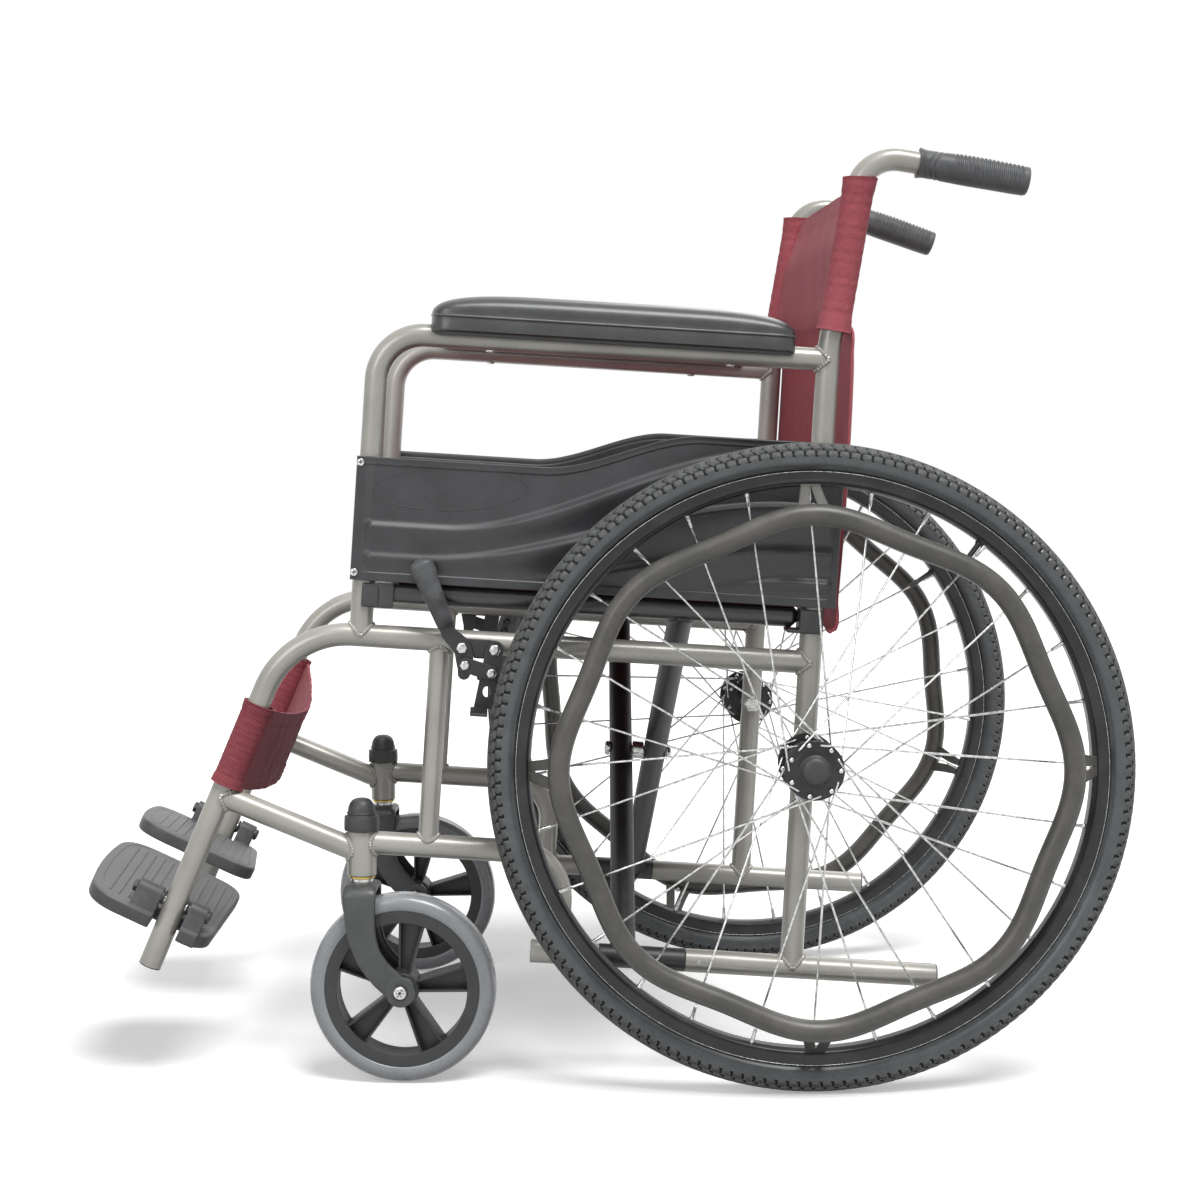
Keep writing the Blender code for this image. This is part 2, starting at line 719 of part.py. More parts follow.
def wheel_ring(side, profile, sides=WHEEL_SIDES):
    """A ring turned about the axle, standing on one of its flats. Its profile is (outward, radius)."""
    fit = 1 / math.cos(math.pi / sides)
    loop = [(x, r * fit) for x, r in profile]
    return turned(loop, wheel_centre(side), Vector((side, 0, 0)), sides, math.pi / sides, ring=True)


def tyre(side):
    w, r = TYRE_HALF_WIDTH, WHEEL_R
    half = [
        (0.62 * w, TYRE_BEAD_R),
        (w, TYRE_BEAD_R + 0.009),
        (0.80 * w, r - 0.006),
        (0.30 * w, r),
    ]
    return wheel_ring(side, half + [(-x, y) for x, y in reversed(half)])


def rim(side):
    half = [(RIM_INNER_HALF_WIDTH, RIM_INNER_R), (RIM_HALF_WIDTH, RIM_WALL_R), (RIM_HALF_WIDTH, RIM_R)]
    return wheel_ring(side, half + [(-x, y) for x, y in reversed(half)])


def hub(side, turn):
    """Hub shell with two flanges, laced with straight spokes that cross on their way to the rim."""
    f, t = FLANGE_X, FLANGE_THICKNESS / 2
    half = [
        (HUB_HALF_WIDTH, HUB_BODY_R - 0.004),
        (f + t, HUB_BODY_R),
        (f + t, FLANGE_R),
        (f - t, FLANGE_R),
        (f - 2 * t, HUB_BODY_R),
    ]
    profile = [(x, r) for x, r in half] + [(-x, r) for x, r in reversed(half)]
    ends = [(HUB_HALF_WIDTH, 0), (-HUB_HALF_WIDTH, 0)]
    outward = Vector((side, 0, 0))
    shell = turned([ends[0], *profile, ends[1]], wheel_centre(side), outward, HUB_SIDES)
    spokes = [spoke(side, turn, k) for k in range(2 * SPOKES_PER_FLANGE)]
    bore_r = hole_r(AXLE_R, PIN_SIDES)
    reach = HUB_HALF_WIDTH + 0.01
    bore = turned([(-reach, bore_r), (reach, bore_r)], wheel_centre(side), outward, PIN_SIDES)
    return cut(joined(shell, *spokes), bore)


def spoke(side, turn, index):
    """One spoke. Even ones start at the outer flange, and along a flange they lean on and back by turns.

    Those that lean on keep to the flange's outer face, and so pass the others where they cross.
    """
    flange = 1 if index % 2 == 0 else -1
    lean = 1 if (index // 2) % 2 == 0 else -1
    rim_turn = turn + math.tau * index / (2 * SPOKES_PER_FLANGE)
    hub_turn = rim_turn + math.tau * lean * SPOKE_CROSSING / SPOKES_PER_FLANGE
    hub_x, rim_x = FLANGE_X + lean * SPOKE_FLANGE_OFFSET, SPOKE_RIM_X + lean * SPOKE_RIM_OFFSET
    start = on_wheel(side, flange * hub_x, SPOKE_HOLE_R, hub_turn)
    return tube([start, on_wheel(side, flange * rim_x, RIM_INNER_R - GAP, rim_turn)], SPOKE_R, 3)


def on_wheel(side, outward, radius, turn):
    """A point of a rear wheel: outward from its plane, at this radius, this far round from the back."""
    offset = Vector((side * outward, radius * math.cos(turn), radius * math.sin(turn)))
    return wheel_centre(side) + offset


def rear_axle(side):
    """Axle bolt through the rear post, with the spacer that sets the hub off it and the end nut."""
    face = FRAME_X + TUBE_R
    start, end = WHEEL_X - HUB_HALF_WIDTH, WHEEL_X + HUB_HALF_WIDTH
    head_face = FRAME_X - TUBE_R - GAP
    profile = [
        (head_face - AXLE_HEAD, 0),
        (head_face - AXLE_HEAD, AXLE_HEAD_R),
        (head_face, AXLE_HEAD_R),
        (head_face, AXLE_R),
        (face + GAP, AXLE_R),
        (face + GAP, SPACER_R),
        (start - GAP, SPACER_R),
        (start - GAP, AXLE_R),
        (end + GAP, AXLE_R),
        (end + GAP, AXLE_NUT_R),
        (end + GAP + AXLE_NUT, AXLE_NUT_R),
        (end + GAP + AXLE_NUT, 0),
    ]
    return turned(profile, Vector((0, 0, WHEEL_R)), Vector((side, 0, 0)), PIN_SIDES)


def hub_cap(side):
    """Dust cap over the axle nut."""
    face = WHEEL_X + HUB_HALF_WIDTH + GAP
    inner_r, inner = AXLE_NUT_R + 0.002, face + AXLE_NUT + 2 * GAP
    outer = inner + HUB_CAP_WALL
    profile = [
        (outer, 0),
        (outer, HUB_CAP_R * 0.7),
        (outer - HUB_CAP_WALL, HUB_CAP_R),
        (face, HUB_CAP_R),
        (face, inner_r),
        (inner, inner_r),
        (inner, 0),
    ]
    return turned(profile, Vector((0, 0, WHEEL_R)), Vector((side, 0, 0)), HUB_SIDES)


def handrim(side, turn):
    """Push rim whose radius waves in and out round the wheel, on tabs bolted to the rim's wall."""
    loops = []
    for k in range(HANDRIM_STEPS):
        angle = math.tau * k / HANDRIM_STEPS
        radius = HANDRIM_R + HANDRIM_WAVE * math.cos(HANDRIM_LOBES * angle)
        section = [math.tau * i / HANDRIM_SIDES for i in range(HANDRIM_SIDES)]
        loops.append(
            [
                on_wheel(
                    side,
                    HANDRIM_X + HANDRIM_TUBE_R * math.sin(u),
                    radius + HANDRIM_TUBE_R * math.cos(u),
                    turn + angle,
                )
                for u in section
            ]
        )
    tabs = [handrim_tab(side, turn + math.tau * k / HANDRIM_TABS) for k in range(HANDRIM_TABS)]
    return joined(loft(loops, ring=True), *tabs)


def handrim_tab(side, turn):
    """A tab: flat on the rim's wall, then bent out to the push rim, widening on the way."""
    face = RIM_HALF_WIDTH + GAP
    stations = [
        (face, RIM_R - 0.0005, TAB_FOOT_WIDTH),
        (face, RIM_WALL_R + 0.001, TAB_FOOT_WIDTH),
        (HANDRIM_X - 0.004, HANDRIM_R + HANDRIM_WAVE + 0.002, TAB_TOP_WIDTH),
    ]
    loops = []
    for outward, radius, width in stations:
        loop = []
        for across, out in ((-1, 0), (1, 0), (1, TAB_THICKNESS), (-1, TAB_THICKNESS)):
            spot = on_wheel(side, outward + out, radius, turn)
            tangent = Vector((0, -math.sin(turn), math.cos(turn)))
            loop.append(spot + tangent * across * width / 2)
        loops.append(loop)
    return loft(loops)


# Caster, built with its swivel axis on Z and its wheel straight behind, then swivelled into place


def caster_place(side):
    return Matrix.Translation((side * FRAME_X, CASTER_Y, 0)) @ Matrix.Rotation(CASTER_TURN, 4, "Z")


def caster_axle_point():
    return Vector((0, CASTER_TRAIL, CASTER_R))


def caster_ring(profile):
    fit = 1 / math.cos(math.pi / CASTER_SIDES)
    loop = [(x, r * fit) for x, r in profile]
    phase = math.pi / CASTER_SIDES
    return turned(loop, caster_axle_point(), Vector((1, 0, 0)), CASTER_SIDES, phase, ring=True)


def caster_bar(profile, sides=PIN_SIDES):
    return turned(profile, caster_axle_point(), Vector((1, 0, 0)), sides)


def caster_fork():
    """Fork: a crown and two legs swept back to the axle, with its stem and collar on top."""
    under = FORK_TOP_Z - FORK_CROWN
    outer = FORK_LEG_INNER_X + FORK_LEG
    line = [
        (0.0, FORK_TOP_Z, 0.0165),
        (0.001, 0.160, 0.0125),
        (0.004, 0.138, 0.0115),
        (0.012, 0.117, 0.0115),
        (0.026, 0.101, 0.0125),
    ]
    front = [Vector((0, y - w, z)) for y, z, w in line[:3]]
    front += [Vector((0, y - 0.75 * w, z - 0.55 * w)) for y, z, w in line[3:]]
    back = [Vector((0, y + w, z)) for y, z, w in line[:3]]
    back += [Vector((0, y + 0.75 * w, z + 0.65 * w)) for y, z, w in line[3:]]
    axle = caster_axle_point()
    turns = [math.radians(t) for t in (-125, -90, -55, -20, 15, 50)]
    foot = [axle + 0.0145 * Vector((0, math.cos(t), math.sin(t))) for t in turns]
    outline = front + foot + back[::-1]
    legs = [
        prism(outline, Vector((x, 0, 0)), Vector((x + FORK_LEG, 0, 0)))
        for x in (-outer, FORK_LEG_INNER_X)
    ]
    width = line[0][2]
    crown = box((-outer + 0.001, -width, under), (outer - 0.001, width, FORK_TOP_Z))
    stem = turned(
        [
            (under + 0.002, STEM_R),
            (FORK_TOP_Z - 0.002, STEM_R),
            (FORK_TOP_Z - 0.002, COLLAR_R),
            (BARREL_BOTTOM_Z - GAP, COLLAR_R),
            (BARREL_BOTTOM_Z - GAP, STEM_R),
            (BARREL_TOP_Z - 0.003, STEM_R),
        ],
        Vector(),
        Vector((0, 0, 1)),
        ROUND_SIDES,
    )
    hole_radius, reach = hole_r(CASTER_AXLE_R, PIN_SIDES), outer + 0.01
    hole = caster_bar([(-reach, hole_radius), (reach, hole_radius)])
    return cut(joined(crown, *legs, stem), hole)


def caster_wheel():
    """Moulded caster wheel: hub and rim joined by wedge spokes, each a thin web between two ribs."""
    ring = caster_ring(
        [
            (CASTER_RIM_HALF_WIDTH, CASTER_RIM_INNER_R),
            (CASTER_RIM_HALF_WIDTH, CASTER_RIM_R),
            (-CASTER_RIM_HALF_WIDTH, CASTER_RIM_R),
            (-CASTER_RIM_HALF_WIDTH, CASTER_RIM_INNER_R),
        ]
    )
    w = CASTER_HUB_HALF_WIDTH
    shapes = [caster_bar([(-w, CASTER_HUB_R), (w, CASTER_HUB_R)], HUB_SIDES)]
    rim_in, hub_in = CASTER_RIM_INNER_R + 0.003, CASTER_HUB_R - 0.004
    for k in range(CASTER_SPOKES):
        turn = CASTER_SPOKE_TURN + math.tau * k / CASTER_SPOKES
        out = Vector((0, math.cos(turn), math.sin(turn)))
        round_ = Vector((0, -math.sin(turn), math.cos(turn)))
        axle = caster_axle_point()
        near = [axle + out * hub_in + round_ * CASTER_SPOKE_HUB_HALF * e for e in (-1, 1)]
        far = [axle + out * rim_in + round_ * CASTER_SPOKE_RIM_HALF * e for e in (-1, 1)]
        web = Vector((CASTER_WEB / 2, 0, 0))
        shapes.append(prism([near[0], far[0], far[1], near[1]], -web, web))
        rib = Vector((CASTER_RIB_HALF_WIDTH, 0, 0))
        for i, e in enumerate((-1, 1)):
            inward = -round_ * e * CASTER_RIB
            corners = [near[i], far[i], far[i] + inward, near[i] + inward]
            shapes.append(prism(corners, -rib, rib))
    bore = hole_r(CASTER_AXLE_R, PIN_SIDES)
    return cut(joined(ring, *shapes), caster_bar([(-0.05, bore), (0.05, bore)]))


def caster_tyre():
    w, r = CASTER_TYRE_HALF_WIDTH, CASTER_R
    half = [(0.95 * w, CASTER_RIM_R + GAP), (w, r - 0.011), (0.80 * w, r - 0.004), (0.3 * w, r)]
    return caster_ring(half + [(-x, y) for x, y in reversed(half)])


def caster_axle():
    face = FORK_LEG_INNER_X + FORK_LEG + GAP
    end = face + CASTER_BOLT_HEAD
    half = [(face, CASTER_AXLE_R), (face, CASTER_BOLT_HEAD_R), (end, CASTER_BOLT_HEAD_R), (end, 0)]
    return caster_bar([(-x, r) for x, r in reversed(half)] + half)


def caster_cap(x):
    """Domed plastic cap on the caster barrel."""
    top, band = CASTER_CAP_HEIGHT, CASTER_CAP_BAND
    profile = [(GAP, 0), (GAP, CASTER_CAP_R), (band, CASTER_CAP_R), (band, CASTER_DOME_R)]
    rise = top - band
    for k in range(1, 4):
        turn = math.pi / 2 * k / 4
        profile.append((band + rise * math.sin(turn), CASTER_DOME_R * math.cos(turn) ** 0.8))
    profile.append((top, 0))
    return turned(profile, Vector((x, CASTER_Y, BARREL_TOP_Z)), Vector((0, 0, 1)), ROUND_SIDES)


# Footplate


def plate_axes():
    """Directions of a footplate: out from the chair's middle on the left side, back down its slope, and up."""
    c, s = math.cos(PLATE_SLOPE), math.sin(PLATE_SLOPE)
    return Vector((1, 0, 0)), Vector((0, c, -s)), Vector((0, s, c))


def plate_place(side):
    """Turns footplate sizes (out, s, n) into places, with the inner edge canted up."""
    out, back, up = plate_axes()
    axes = Matrix((out * side, back, up)).transposed().to_4x4()
    cant = Matrix.Rotation(PLATE_CANT, 4, "Y")
    return Matrix.Translation(on_hanger(PIN_ON_HANGER, side * FRAME_X)) @ axes @ cant


def plate_outline(inset=0.0):
    """The tread's outline as (out, s): a bulging front, round corners and a slanting back edge."""
    inner, outer = PLATE_INNER + inset, PLATE_OUTER - inset
    front, rear_in, rear_out = PLATE_FRONT + inset, PLATE_REAR_INNER - inset, PLATE_REAR_OUTER - inset
    radius = PLATE_CORNER_R - inset
    corners = [(inner, rear_in), (inner, front), (outer, front), (outer, rear_out)]
    points = bent([Vector((x, s, 0)) for x, s in (*corners, corners[0], corners[1])], *[radius] * 4)
    loop = points[1:-1]
    middle, half = (inner + outer) / 2, (outer - inner) / 2
    bulge = [max(0, 1 - ((p.x - middle) / half) ** 2) * PLATE_BULGE if p.y < 0 else 0 for p in loop]
    return [(p.x, p.y - more) for p, more in zip(loop, bulge)]


def footplate(side):
    """Moulded footplate with a notch for the hanger, and a lug on each side of it bored for the pin."""
    levels = [
        (PLATE_BOTTOM, PLATE_EDGE),
        (PLATE_BOTTOM + PLATE_EDGE, 0),
        (PLATE_TOP - PLATE_EDGE, 0),
        (PLATE_TOP, PLATE_EDGE),
    ]
    plate = loft([[Vector((x, s, n)) for x, s in plate_outline(inset)] for n, inset in levels])
    notch = box((-NOTCH_HALF, -NOTCH_HALF, -0.05), (0.05, NOTCH_HALF, 0.05))
    cut(plate, notch)
    foot, inner, outer = PLATE_BOTTOM + 0.001, -0.0125, PLATE_OUTER - 0.001
    outline = [(inner, foot), (outer, foot), (outer, -LUG_TOP_R)]
    for k in range(7):
        turn = math.pi * k / 6
        outline.append((LUG_TOP_R * math.cos(turn), LUG_TOP_R * math.sin(turn)))
    outline.append((inner, -LUG_TOP_R))
    lugs = []
    for start, end in ((LUG_FRONT, -NOTCH_HALF), (NOTCH_HALF, LUG_REAR)):
        lugs.append(prism([Vector((x, 0, n)) for x, n in outline], Vector((0, start, 0)), Vector((0, end, 0))))
    bore = hole_r(PIN_R, PIN_SIDES)
    hole = turned([(-0.1, bore), (0.1, bore)], Vector(), Vector((0, 1, 0)), PIN_SIDES)
    return moved(cut(joined(plate, *lugs), hole), plate_place(side))


def footplate_pin(side):
    """Bolt through the hanger and both lugs, with a washer on each side of the tube."""
    washer = TUBE_R + 0.0006
    near, front, rear = NOTCH_HALF - GAP, LUG_FRONT - GAP, LUG_REAR + GAP
    profile = [
        (front - PIN_HEAD, 0),
        (front - PIN_HEAD, PIN_HEAD_R),
        (front, PIN_HEAD_R),
        (front, PIN_R),
        (-near, PIN_R),
        (-near, PIN_WASHER_R),
        (-washer, PIN_WASHER_R),
        (-washer, PIN_R),
        (washer, PIN_R),
        (washer, PIN_WASHER_R),
        (near, PIN_WASHER_R),
        (near, PIN_R),
        (rear, PIN_R),
        (rear, PIN_HEAD_R),
        (rear + PIN_HEAD, PIN_HEAD_R),
        (rear + PIN_HEAD, 0),
    ]
    return turned(profile, on_hanger(PIN_ON_HANGER, side * FRAME_X), plate_axes()[1], PIN_SIDES)


# Brake


def strip(side, points, half_width, inner_x, thickness):
    """A flat bar with round ends through two (a, b) points, lying in one X layer."""
    (a0, b0), (a1, b1) = points
    heading = math.atan2(b1 - b0, a1 - a0)
    outline = []
    for (a, b), start in ((points[1], heading - math.pi / 2), (points[0], heading + math.pi / 2)):
        for k in range(5):
            turn = start + math.pi * k / 4
            outline.append((a + half_width * math.cos(turn), b + half_width * math.sin(turn)))
    low = Vector((side * inner_x, 0, 0))
    high = Vector((side * (inner_x + thickness), 0, 0))
    return prism([at(a, b) for a, b in outline], low, high)


def brake_pin(side, point, start, head):
    """A pin from one X layer to its hexagon head in another."""
    profile = [(start, 0), (start, BRAKE_PIN_R), (head, BRAKE_PIN_R), (head, BRAKE_HEAD_R)]
    profile += [(head + BRAKE_HEAD, BRAKE_HEAD_R), (head + BRAKE_HEAD, 0)]
    return turned(profile, at(*point), Vector((side, 0, 0)), 6)


def brake_hole(side, point):
    """A round cutter for the hole that a brake pin turns in."""
    radius = hole_r(BRAKE_PIN_R, PIN_SIDES)
    start, end = LEVER_X - LEVER_GRIP_R, LINK_X + LEVER_GRIP_R
    return turned([(start, radius), (end, radius)], at(*point), Vector((side, 0, 0)), PIN_SIDES)


def brake_bracket(side):
    """Plate with the two fixed pivots, on a saddle clamped to the seat rail."""
    plate = strip(side, (LEVER_PIVOT, ARM_PIVOT), BRAKE_PLATE_HALF, BRACKET_X, BRAKE_PLATE)
    front, rear = LEVER_PIVOT[0] + 0.003, ARM_PIVOT[0] - 0.003
    height = 0.0085
    outline = [(front, -height), (rear, -height), (rear, height), (front, height)]
    corners = [at(a, SEAT_RAIL_B + b) for a, b in outline]
    block = prism(corners, Vector((side * FRAME_X, 0, 0)), Vector((side * (BRACKET_X + 0.001), 0, 0)))
    saddle = cut(block, tube_cutter(seat_rail_line(side * FRAME_X), TUBE_R))
    start, head = BRACKET_X + 0.001, LEVER_X + BRAKE_PLATE + GAP
    pins = [brake_pin(side, point, start, head) for point in (LEVER_PIVOT, ARM_PIVOT)]
    return joined(plate, saddle, *pins)


def brake_lever(side):
    """Lever plate that turns on the bracket, with a moulded hand grip."""
    plate = strip(side, (LINK_ON_LEVER, LEVER_PIVOT), BRAKE_PLATE_HALF, LEVER_X, BRAKE_PLATE)
    neck = strip(side, (LEVER_PIVOT, LEVER_NECK), 0.0078, LEVER_X, BRAKE_PLATE)
    foot, top = at(*LEVER_NECK), at(*LEVER_TOP)
    reach = (top - foot).length
    centre_x = LEVER_X + LEVER_GRIP_R
    profile = [
        (-0.006, 0),
        (-0.004, 0.0055),
        (0.006, 0.0080),
        (reach * 0.55, LEVER_GRIP_R),
        (reach - 0.010, LEVER_GRIP_R + 0.0008),
        (reach - 0.003, LEVER_GRIP_R * 0.8),
        (reach, 0),
    ]
    origin = foot + Vector((side * centre_x, 0, 0))
    grip = turned(profile, origin, top - foot, TUBE_SIDES)
    inner = box_layer(side, LEVER_X - 2 * LEVER_GRIP_R, LEVER_X)
    cut(grip, inner)
    holes = [brake_hole(side, point) for point in (LEVER_PIVOT, LINK_ON_LEVER)]
    return cut(joined(plate, neck, grip), *holes)


def box_layer(side, low_x, high_x):
    """A block that takes away everything between two X layers near the brake."""
    low, high = sorted((side * low_x, side * high_x))
    return box((low, -2 * WHEEL_R, WHEEL_R / 2), (high, 0, 2.5 * WHEEL_R))


def brake_arm(side):
    """Arm that turns on the bracket and carries the shoe in front of the tyre."""
    arm = strip(side, (ARM_PIVOT, SHOE), BRAKE_PLATE_HALF - 0.001, LEVER_X, BRAKE_PLATE)
    a, b = SHOE
    half, rise = SHOE_DEPTH / 2, SHOE_HEIGHT / 2
    outline = [(a - half, b - rise), (a + half, b - rise), (a + half, b + rise), (a - half, b + rise)]
    low, high = Vector((side * LEVER_X, 0, 0)), Vector((side * SHOE_OUTER_X, 0, 0))
    shoe = prism([at(p, q) for p, q in outline], low, high)
    return cut(joined(arm, shoe), brake_hole(side, ARM_PIVOT))


def brake_link(side):
    """Link between lever and arm. Its pin turns in the lever, and its other end stands clear of the arm."""
    link = strip(side, (LINK_ON_LEVER, LINK_ON_ARM), 0.0072, LINK_X, BRAKE_PLATE)
    head = LINK_X + BRAKE_PLATE - 0.0005
    pins = [brake_pin(side, LINK_ON_LEVER, LEVER_X + GAP, head)]
    pins.append(brake_pin(side, LINK_ON_ARM, LINK_X + 0.001, head))
    return joined(link, *pins)


# Upholstery


def slab(grid, thickness):
    """A closed sheet: a grid of points, rows of equal length, given this thickness."""
    bm = bmesh.new()
    layers = [[[bm.verts.new(p + offset) for p in row] for row in grid] for offset in (Vector(), thickness)]
    for layer in layers:
        for row, other in zip(layer, layer[1:]):
            for i in range(len(row) - 1):
                bm.faces.new((row[i], row[i + 1], other[i + 1], other[i]))
    low, high = ([*g[0], *[r[-1] for r in g[1:-1]], *g[-1][::-1], *[r[0] for r in g[-2:0:-1]]] for g in layers)
    for i in range(len(low)):
        j = (i + 1) % len(low)
        bm.faces.new((low[i], low[j], high[j], high[i]))
    return new_object(bm)


def spread(count):
    """Evenly spaced shares from -1 to 1."""
    return [-1 + 2 * k / (count - 1) for k in range(count)]


def seat_upholstery():
    """Seat sling: a sheet over both seat tubes that sags between them, most in its middle."""
    front, rear = SEAT_TUBE_FRONT_A + 0.002, SEAT_TUBE_REAR_A - 0.002
    top = SEAT_TUBE_B + SEAT_TUBE_R / math.cos(math.pi / TUBE_SIDES) + GAP
    grid = []
    for v in spread(7):
        row = []
        for u in spread(15):
            droop = SEAT_SAG * (1 - abs(u) ** 2.4) * (1 - 0.25 * v * v)
            row.append(at((front + rear) / 2 + (rear - front) / 2 * v, top - droop, SEAT_EDGE_X * u))
        grid.append(row)
    sheet = slab(grid, at(0, CLOTH) - at(0, 0))
    tubes = [tube_cutter(seat_tube_line(side * FRAME_X), SEAT_TUBE_R) for side in SIDES.values()]
    return cut(sheet, *tubes)


def sleeve(points, radius):
    """A cloth sleeve round a tube, open at both ends."""
    return tube(points, hole_r(radius, TUBE_SIDES) + SLEEVE_CLOTH)


def cane_point(b, x):
    """The post's or cane's centre line at this height b, its bend left out."""
    rise = max(0, b - CANE_BEND_B)
    return at(rise * math.tan(CANE_LEAN), b, x)


def back_upholstery():
    """Back sling: sleeves on both canes above the armrests, and a sheet behind the posts with soft folds.

    Below the armrests its edges stand off the posts a little.
    """
    reach = TUBE_R + GAP
    top_b = CANE_BEND_B + (CANE_LENGTH - HANDLE_BEND_R) * math.cos(CANE_LEAN)
    back = at(1, 0) - at(0, 0)
    grid = []
    rows = 8
    for k in range(rows + 1):
        b = BACK_BOTTOM_B + (top_b - BACK_BOTTOM_B) * k / rows
        row = []
        for u in spread(21):
            sag = BACK_SAG * (1 - u * u) * (0.55 + 0.45 * k / rows)
            fold = BACK_FOLD * math.sin(5.5 * math.pi * u) ** 2 * (1 - u * u)
            share = (b - BACK_BOTTOM_B) / (BACK_SLEEVE_B - BACK_BOTTOM_B)
            slack = BACK_SLACK * math.sin(math.pi * min(1, share))
            row.append(cane_point(b, (FRAME_X + 0.006) * u) + back * (reach + sag + slack - fold))
        grid.append(row)
    sheet = slab(grid, back * CLOTH)
    for side in SIDES.values():
        x = side * FRAME_X
        line = [cane_point(BACK_SLEEVE_B, x), cane_point(top_b, x)]
        joined(sheet, sleeve(line, TUBE_R))
    cutters = [tube_cutter(cane_line(side * FRAME_X), TUBE_R) for side in SIDES.values()]
    return cut(sheet, *cutters)


def calf_strap():
    """Calf strap: a sleeve on each hanger and a band between them that hangs back."""
    along = (on_hanger(1, 0) - on_hanger(0, 0)).normalized()
    back = Vector((1, 0, 0)).cross(along)
    back = -back if back.y < 0 else back
    hang = (back + at(0, -0.6) - at(0, 0)).normalized()
    grid = []
    for k in range(3):
        row = []
        for u in spread(15):
            start = on_hanger(CALF_FROM + (CALF_TO - CALF_FROM) * k / 2, FRAME_X * u)
            row.append(start + back * (TUBE_R + GAP) + hang * CALF_SAG * (1 - u * u))
        grid.append(row)
    sheet = slab(grid, back * CLOTH)
    cutters = []
    for side in SIDES.values():
        line = [on_hanger(CALF_FROM, side * FRAME_X), on_hanger(CALF_TO, side * FRAME_X)]
        joined(sheet, sleeve(line, TUBE_R))
        cutters.append(tube_cutter(seat_rail_line(side * FRAME_X), TUBE_R))
    return cut(sheet, *cutters)


def build_side(name, side, frame, finishes):
    """Everything that one side frame carries."""
    x = side * FRAME_X
    turn = RIGHT_WHEEL_TURN if side < 0 else 0.0

    def piece(body, label, obj, finish):
        body.carry(f"{label}_{name}", obj, finishes[finish])

    piece(frame, "rear_cane", rear_cane(x), "champagne_paint")
    piece(frame, "armrest_tube", armrest_tube(x), "champagne_paint")
    piece(frame, "seat_rail", seat_rail(x), "champagne_paint")
    piece(frame, "bottom_rail", bottom_rail(x), "champagne_paint")
    piece(frame, "front_frame", front_frame(x), "champagne_paint")
    piece(frame, "push_grip", push_grip(x), "grip_rubber")
    piece(frame, "armrest_pad", armrest_pad(x), "pad_vinyl")
    piece(frame, "side_panel", side_panel(x), "panel_plastic")
    front, rear = ARMREST_POST_A + GUIDE_WRAP, ARMREST_POST_A + TUBE_R + GUIDE_FRONT_WALL
    front_guide = seat_guide(x, front, rear, rear + GUIDE_LEDGE)
    piece(frame, "seat_guide_front", front_guide, "black_plastic")
    front, rear = -TUBE_R - GUIDE_REAR_WALL, GUIDE_REAR_WRAP
    rear_guide = seat_guide(x, front, rear, front - GUIDE_LEDGE)
    piece(frame, "seat_guide_rear", rear_guide, "black_plastic")
    piece(frame, "caster_cap", caster_cap(x), "black_plastic")
    piece(frame, "rear_axle", rear_axle(side), "zinc")
    piece(frame, "footplate_pin", footplate_pin(side), "zinc")
    piece(frame, "brake_bracket", brake_bracket(side), "black_paint")

    wheel = Body(f"wheel_{name}_axis", wheel_centre(side), frame)
    piece(wheel, "tyre", tyre(side), "tyre_rubber")
    piece(wheel, "rim", rim(side), "black_alloy")
    piece(wheel, "hub_and_spokes", hub(side, turn), "zinc")
    piece(wheel, "hub_cap", hub_cap(side), "black_plastic")
    piece(wheel, "handrim", handrim(side, turn), "taupe_vinyl")

    place = caster_place(side)
    swivel = Body(f"caster_{name}_swivel", Vector((x, CASTER_Y, FORK_TOP_Z)), frame)
    piece(swivel, "caster_fork", moved(caster_fork(), place), "black_plastic")
    piece(swivel, "caster_axle", moved(caster_axle(), place), "zinc")
    spin = Body(f"caster_{name}_axis", place @ caster_axle_point(), swivel)
    piece(spin, "caster_wheel", moved(caster_wheel(), place), "black_plastic")
    piece(spin, "caster_tyre", moved(caster_tyre(), place), "grey_rubber")

    hinge = Body(f"footplate_{name}_hinge", on_hanger(PIN_ON_HANGER, x), frame)
    piece(hinge, "footplate", footplate(side), "grey_plastic")

    lever = Body(f"brake_lever_{name}_pivot", at(*LEVER_PIVOT, side * LEVER_X), frame)
    piece(lever, "brake_lever", brake_lever(side), "black_paint")
    link = Body(f"brake_link_{name}_pivot", at(*LINK_ON_LEVER, side * LINK_X), lever)
    piece(link, "brake_link", brake_link(side), "black_paint")
    arm = Body(f"brake_arm_{name}_pivot", at(*ARM_PIVOT, side * LEVER_X), frame)
    piece(arm, "brake_arm", brake_arm(side), "black_paint")


def centre_chair(chair):
    """Moves the whole chair so that the middle of its length is at Y = 0."""
    bpy.context.view_layer.update()
    meshes = [obj for obj in bpy.context.scene.objects if obj.type == "MESH"]
    reach = [(obj.matrix_world @ vertex.co).y for obj in meshes for vertex in obj.data.vertices]
    chair.empty.location.y = -(min(reach) + max(reach)) / 2


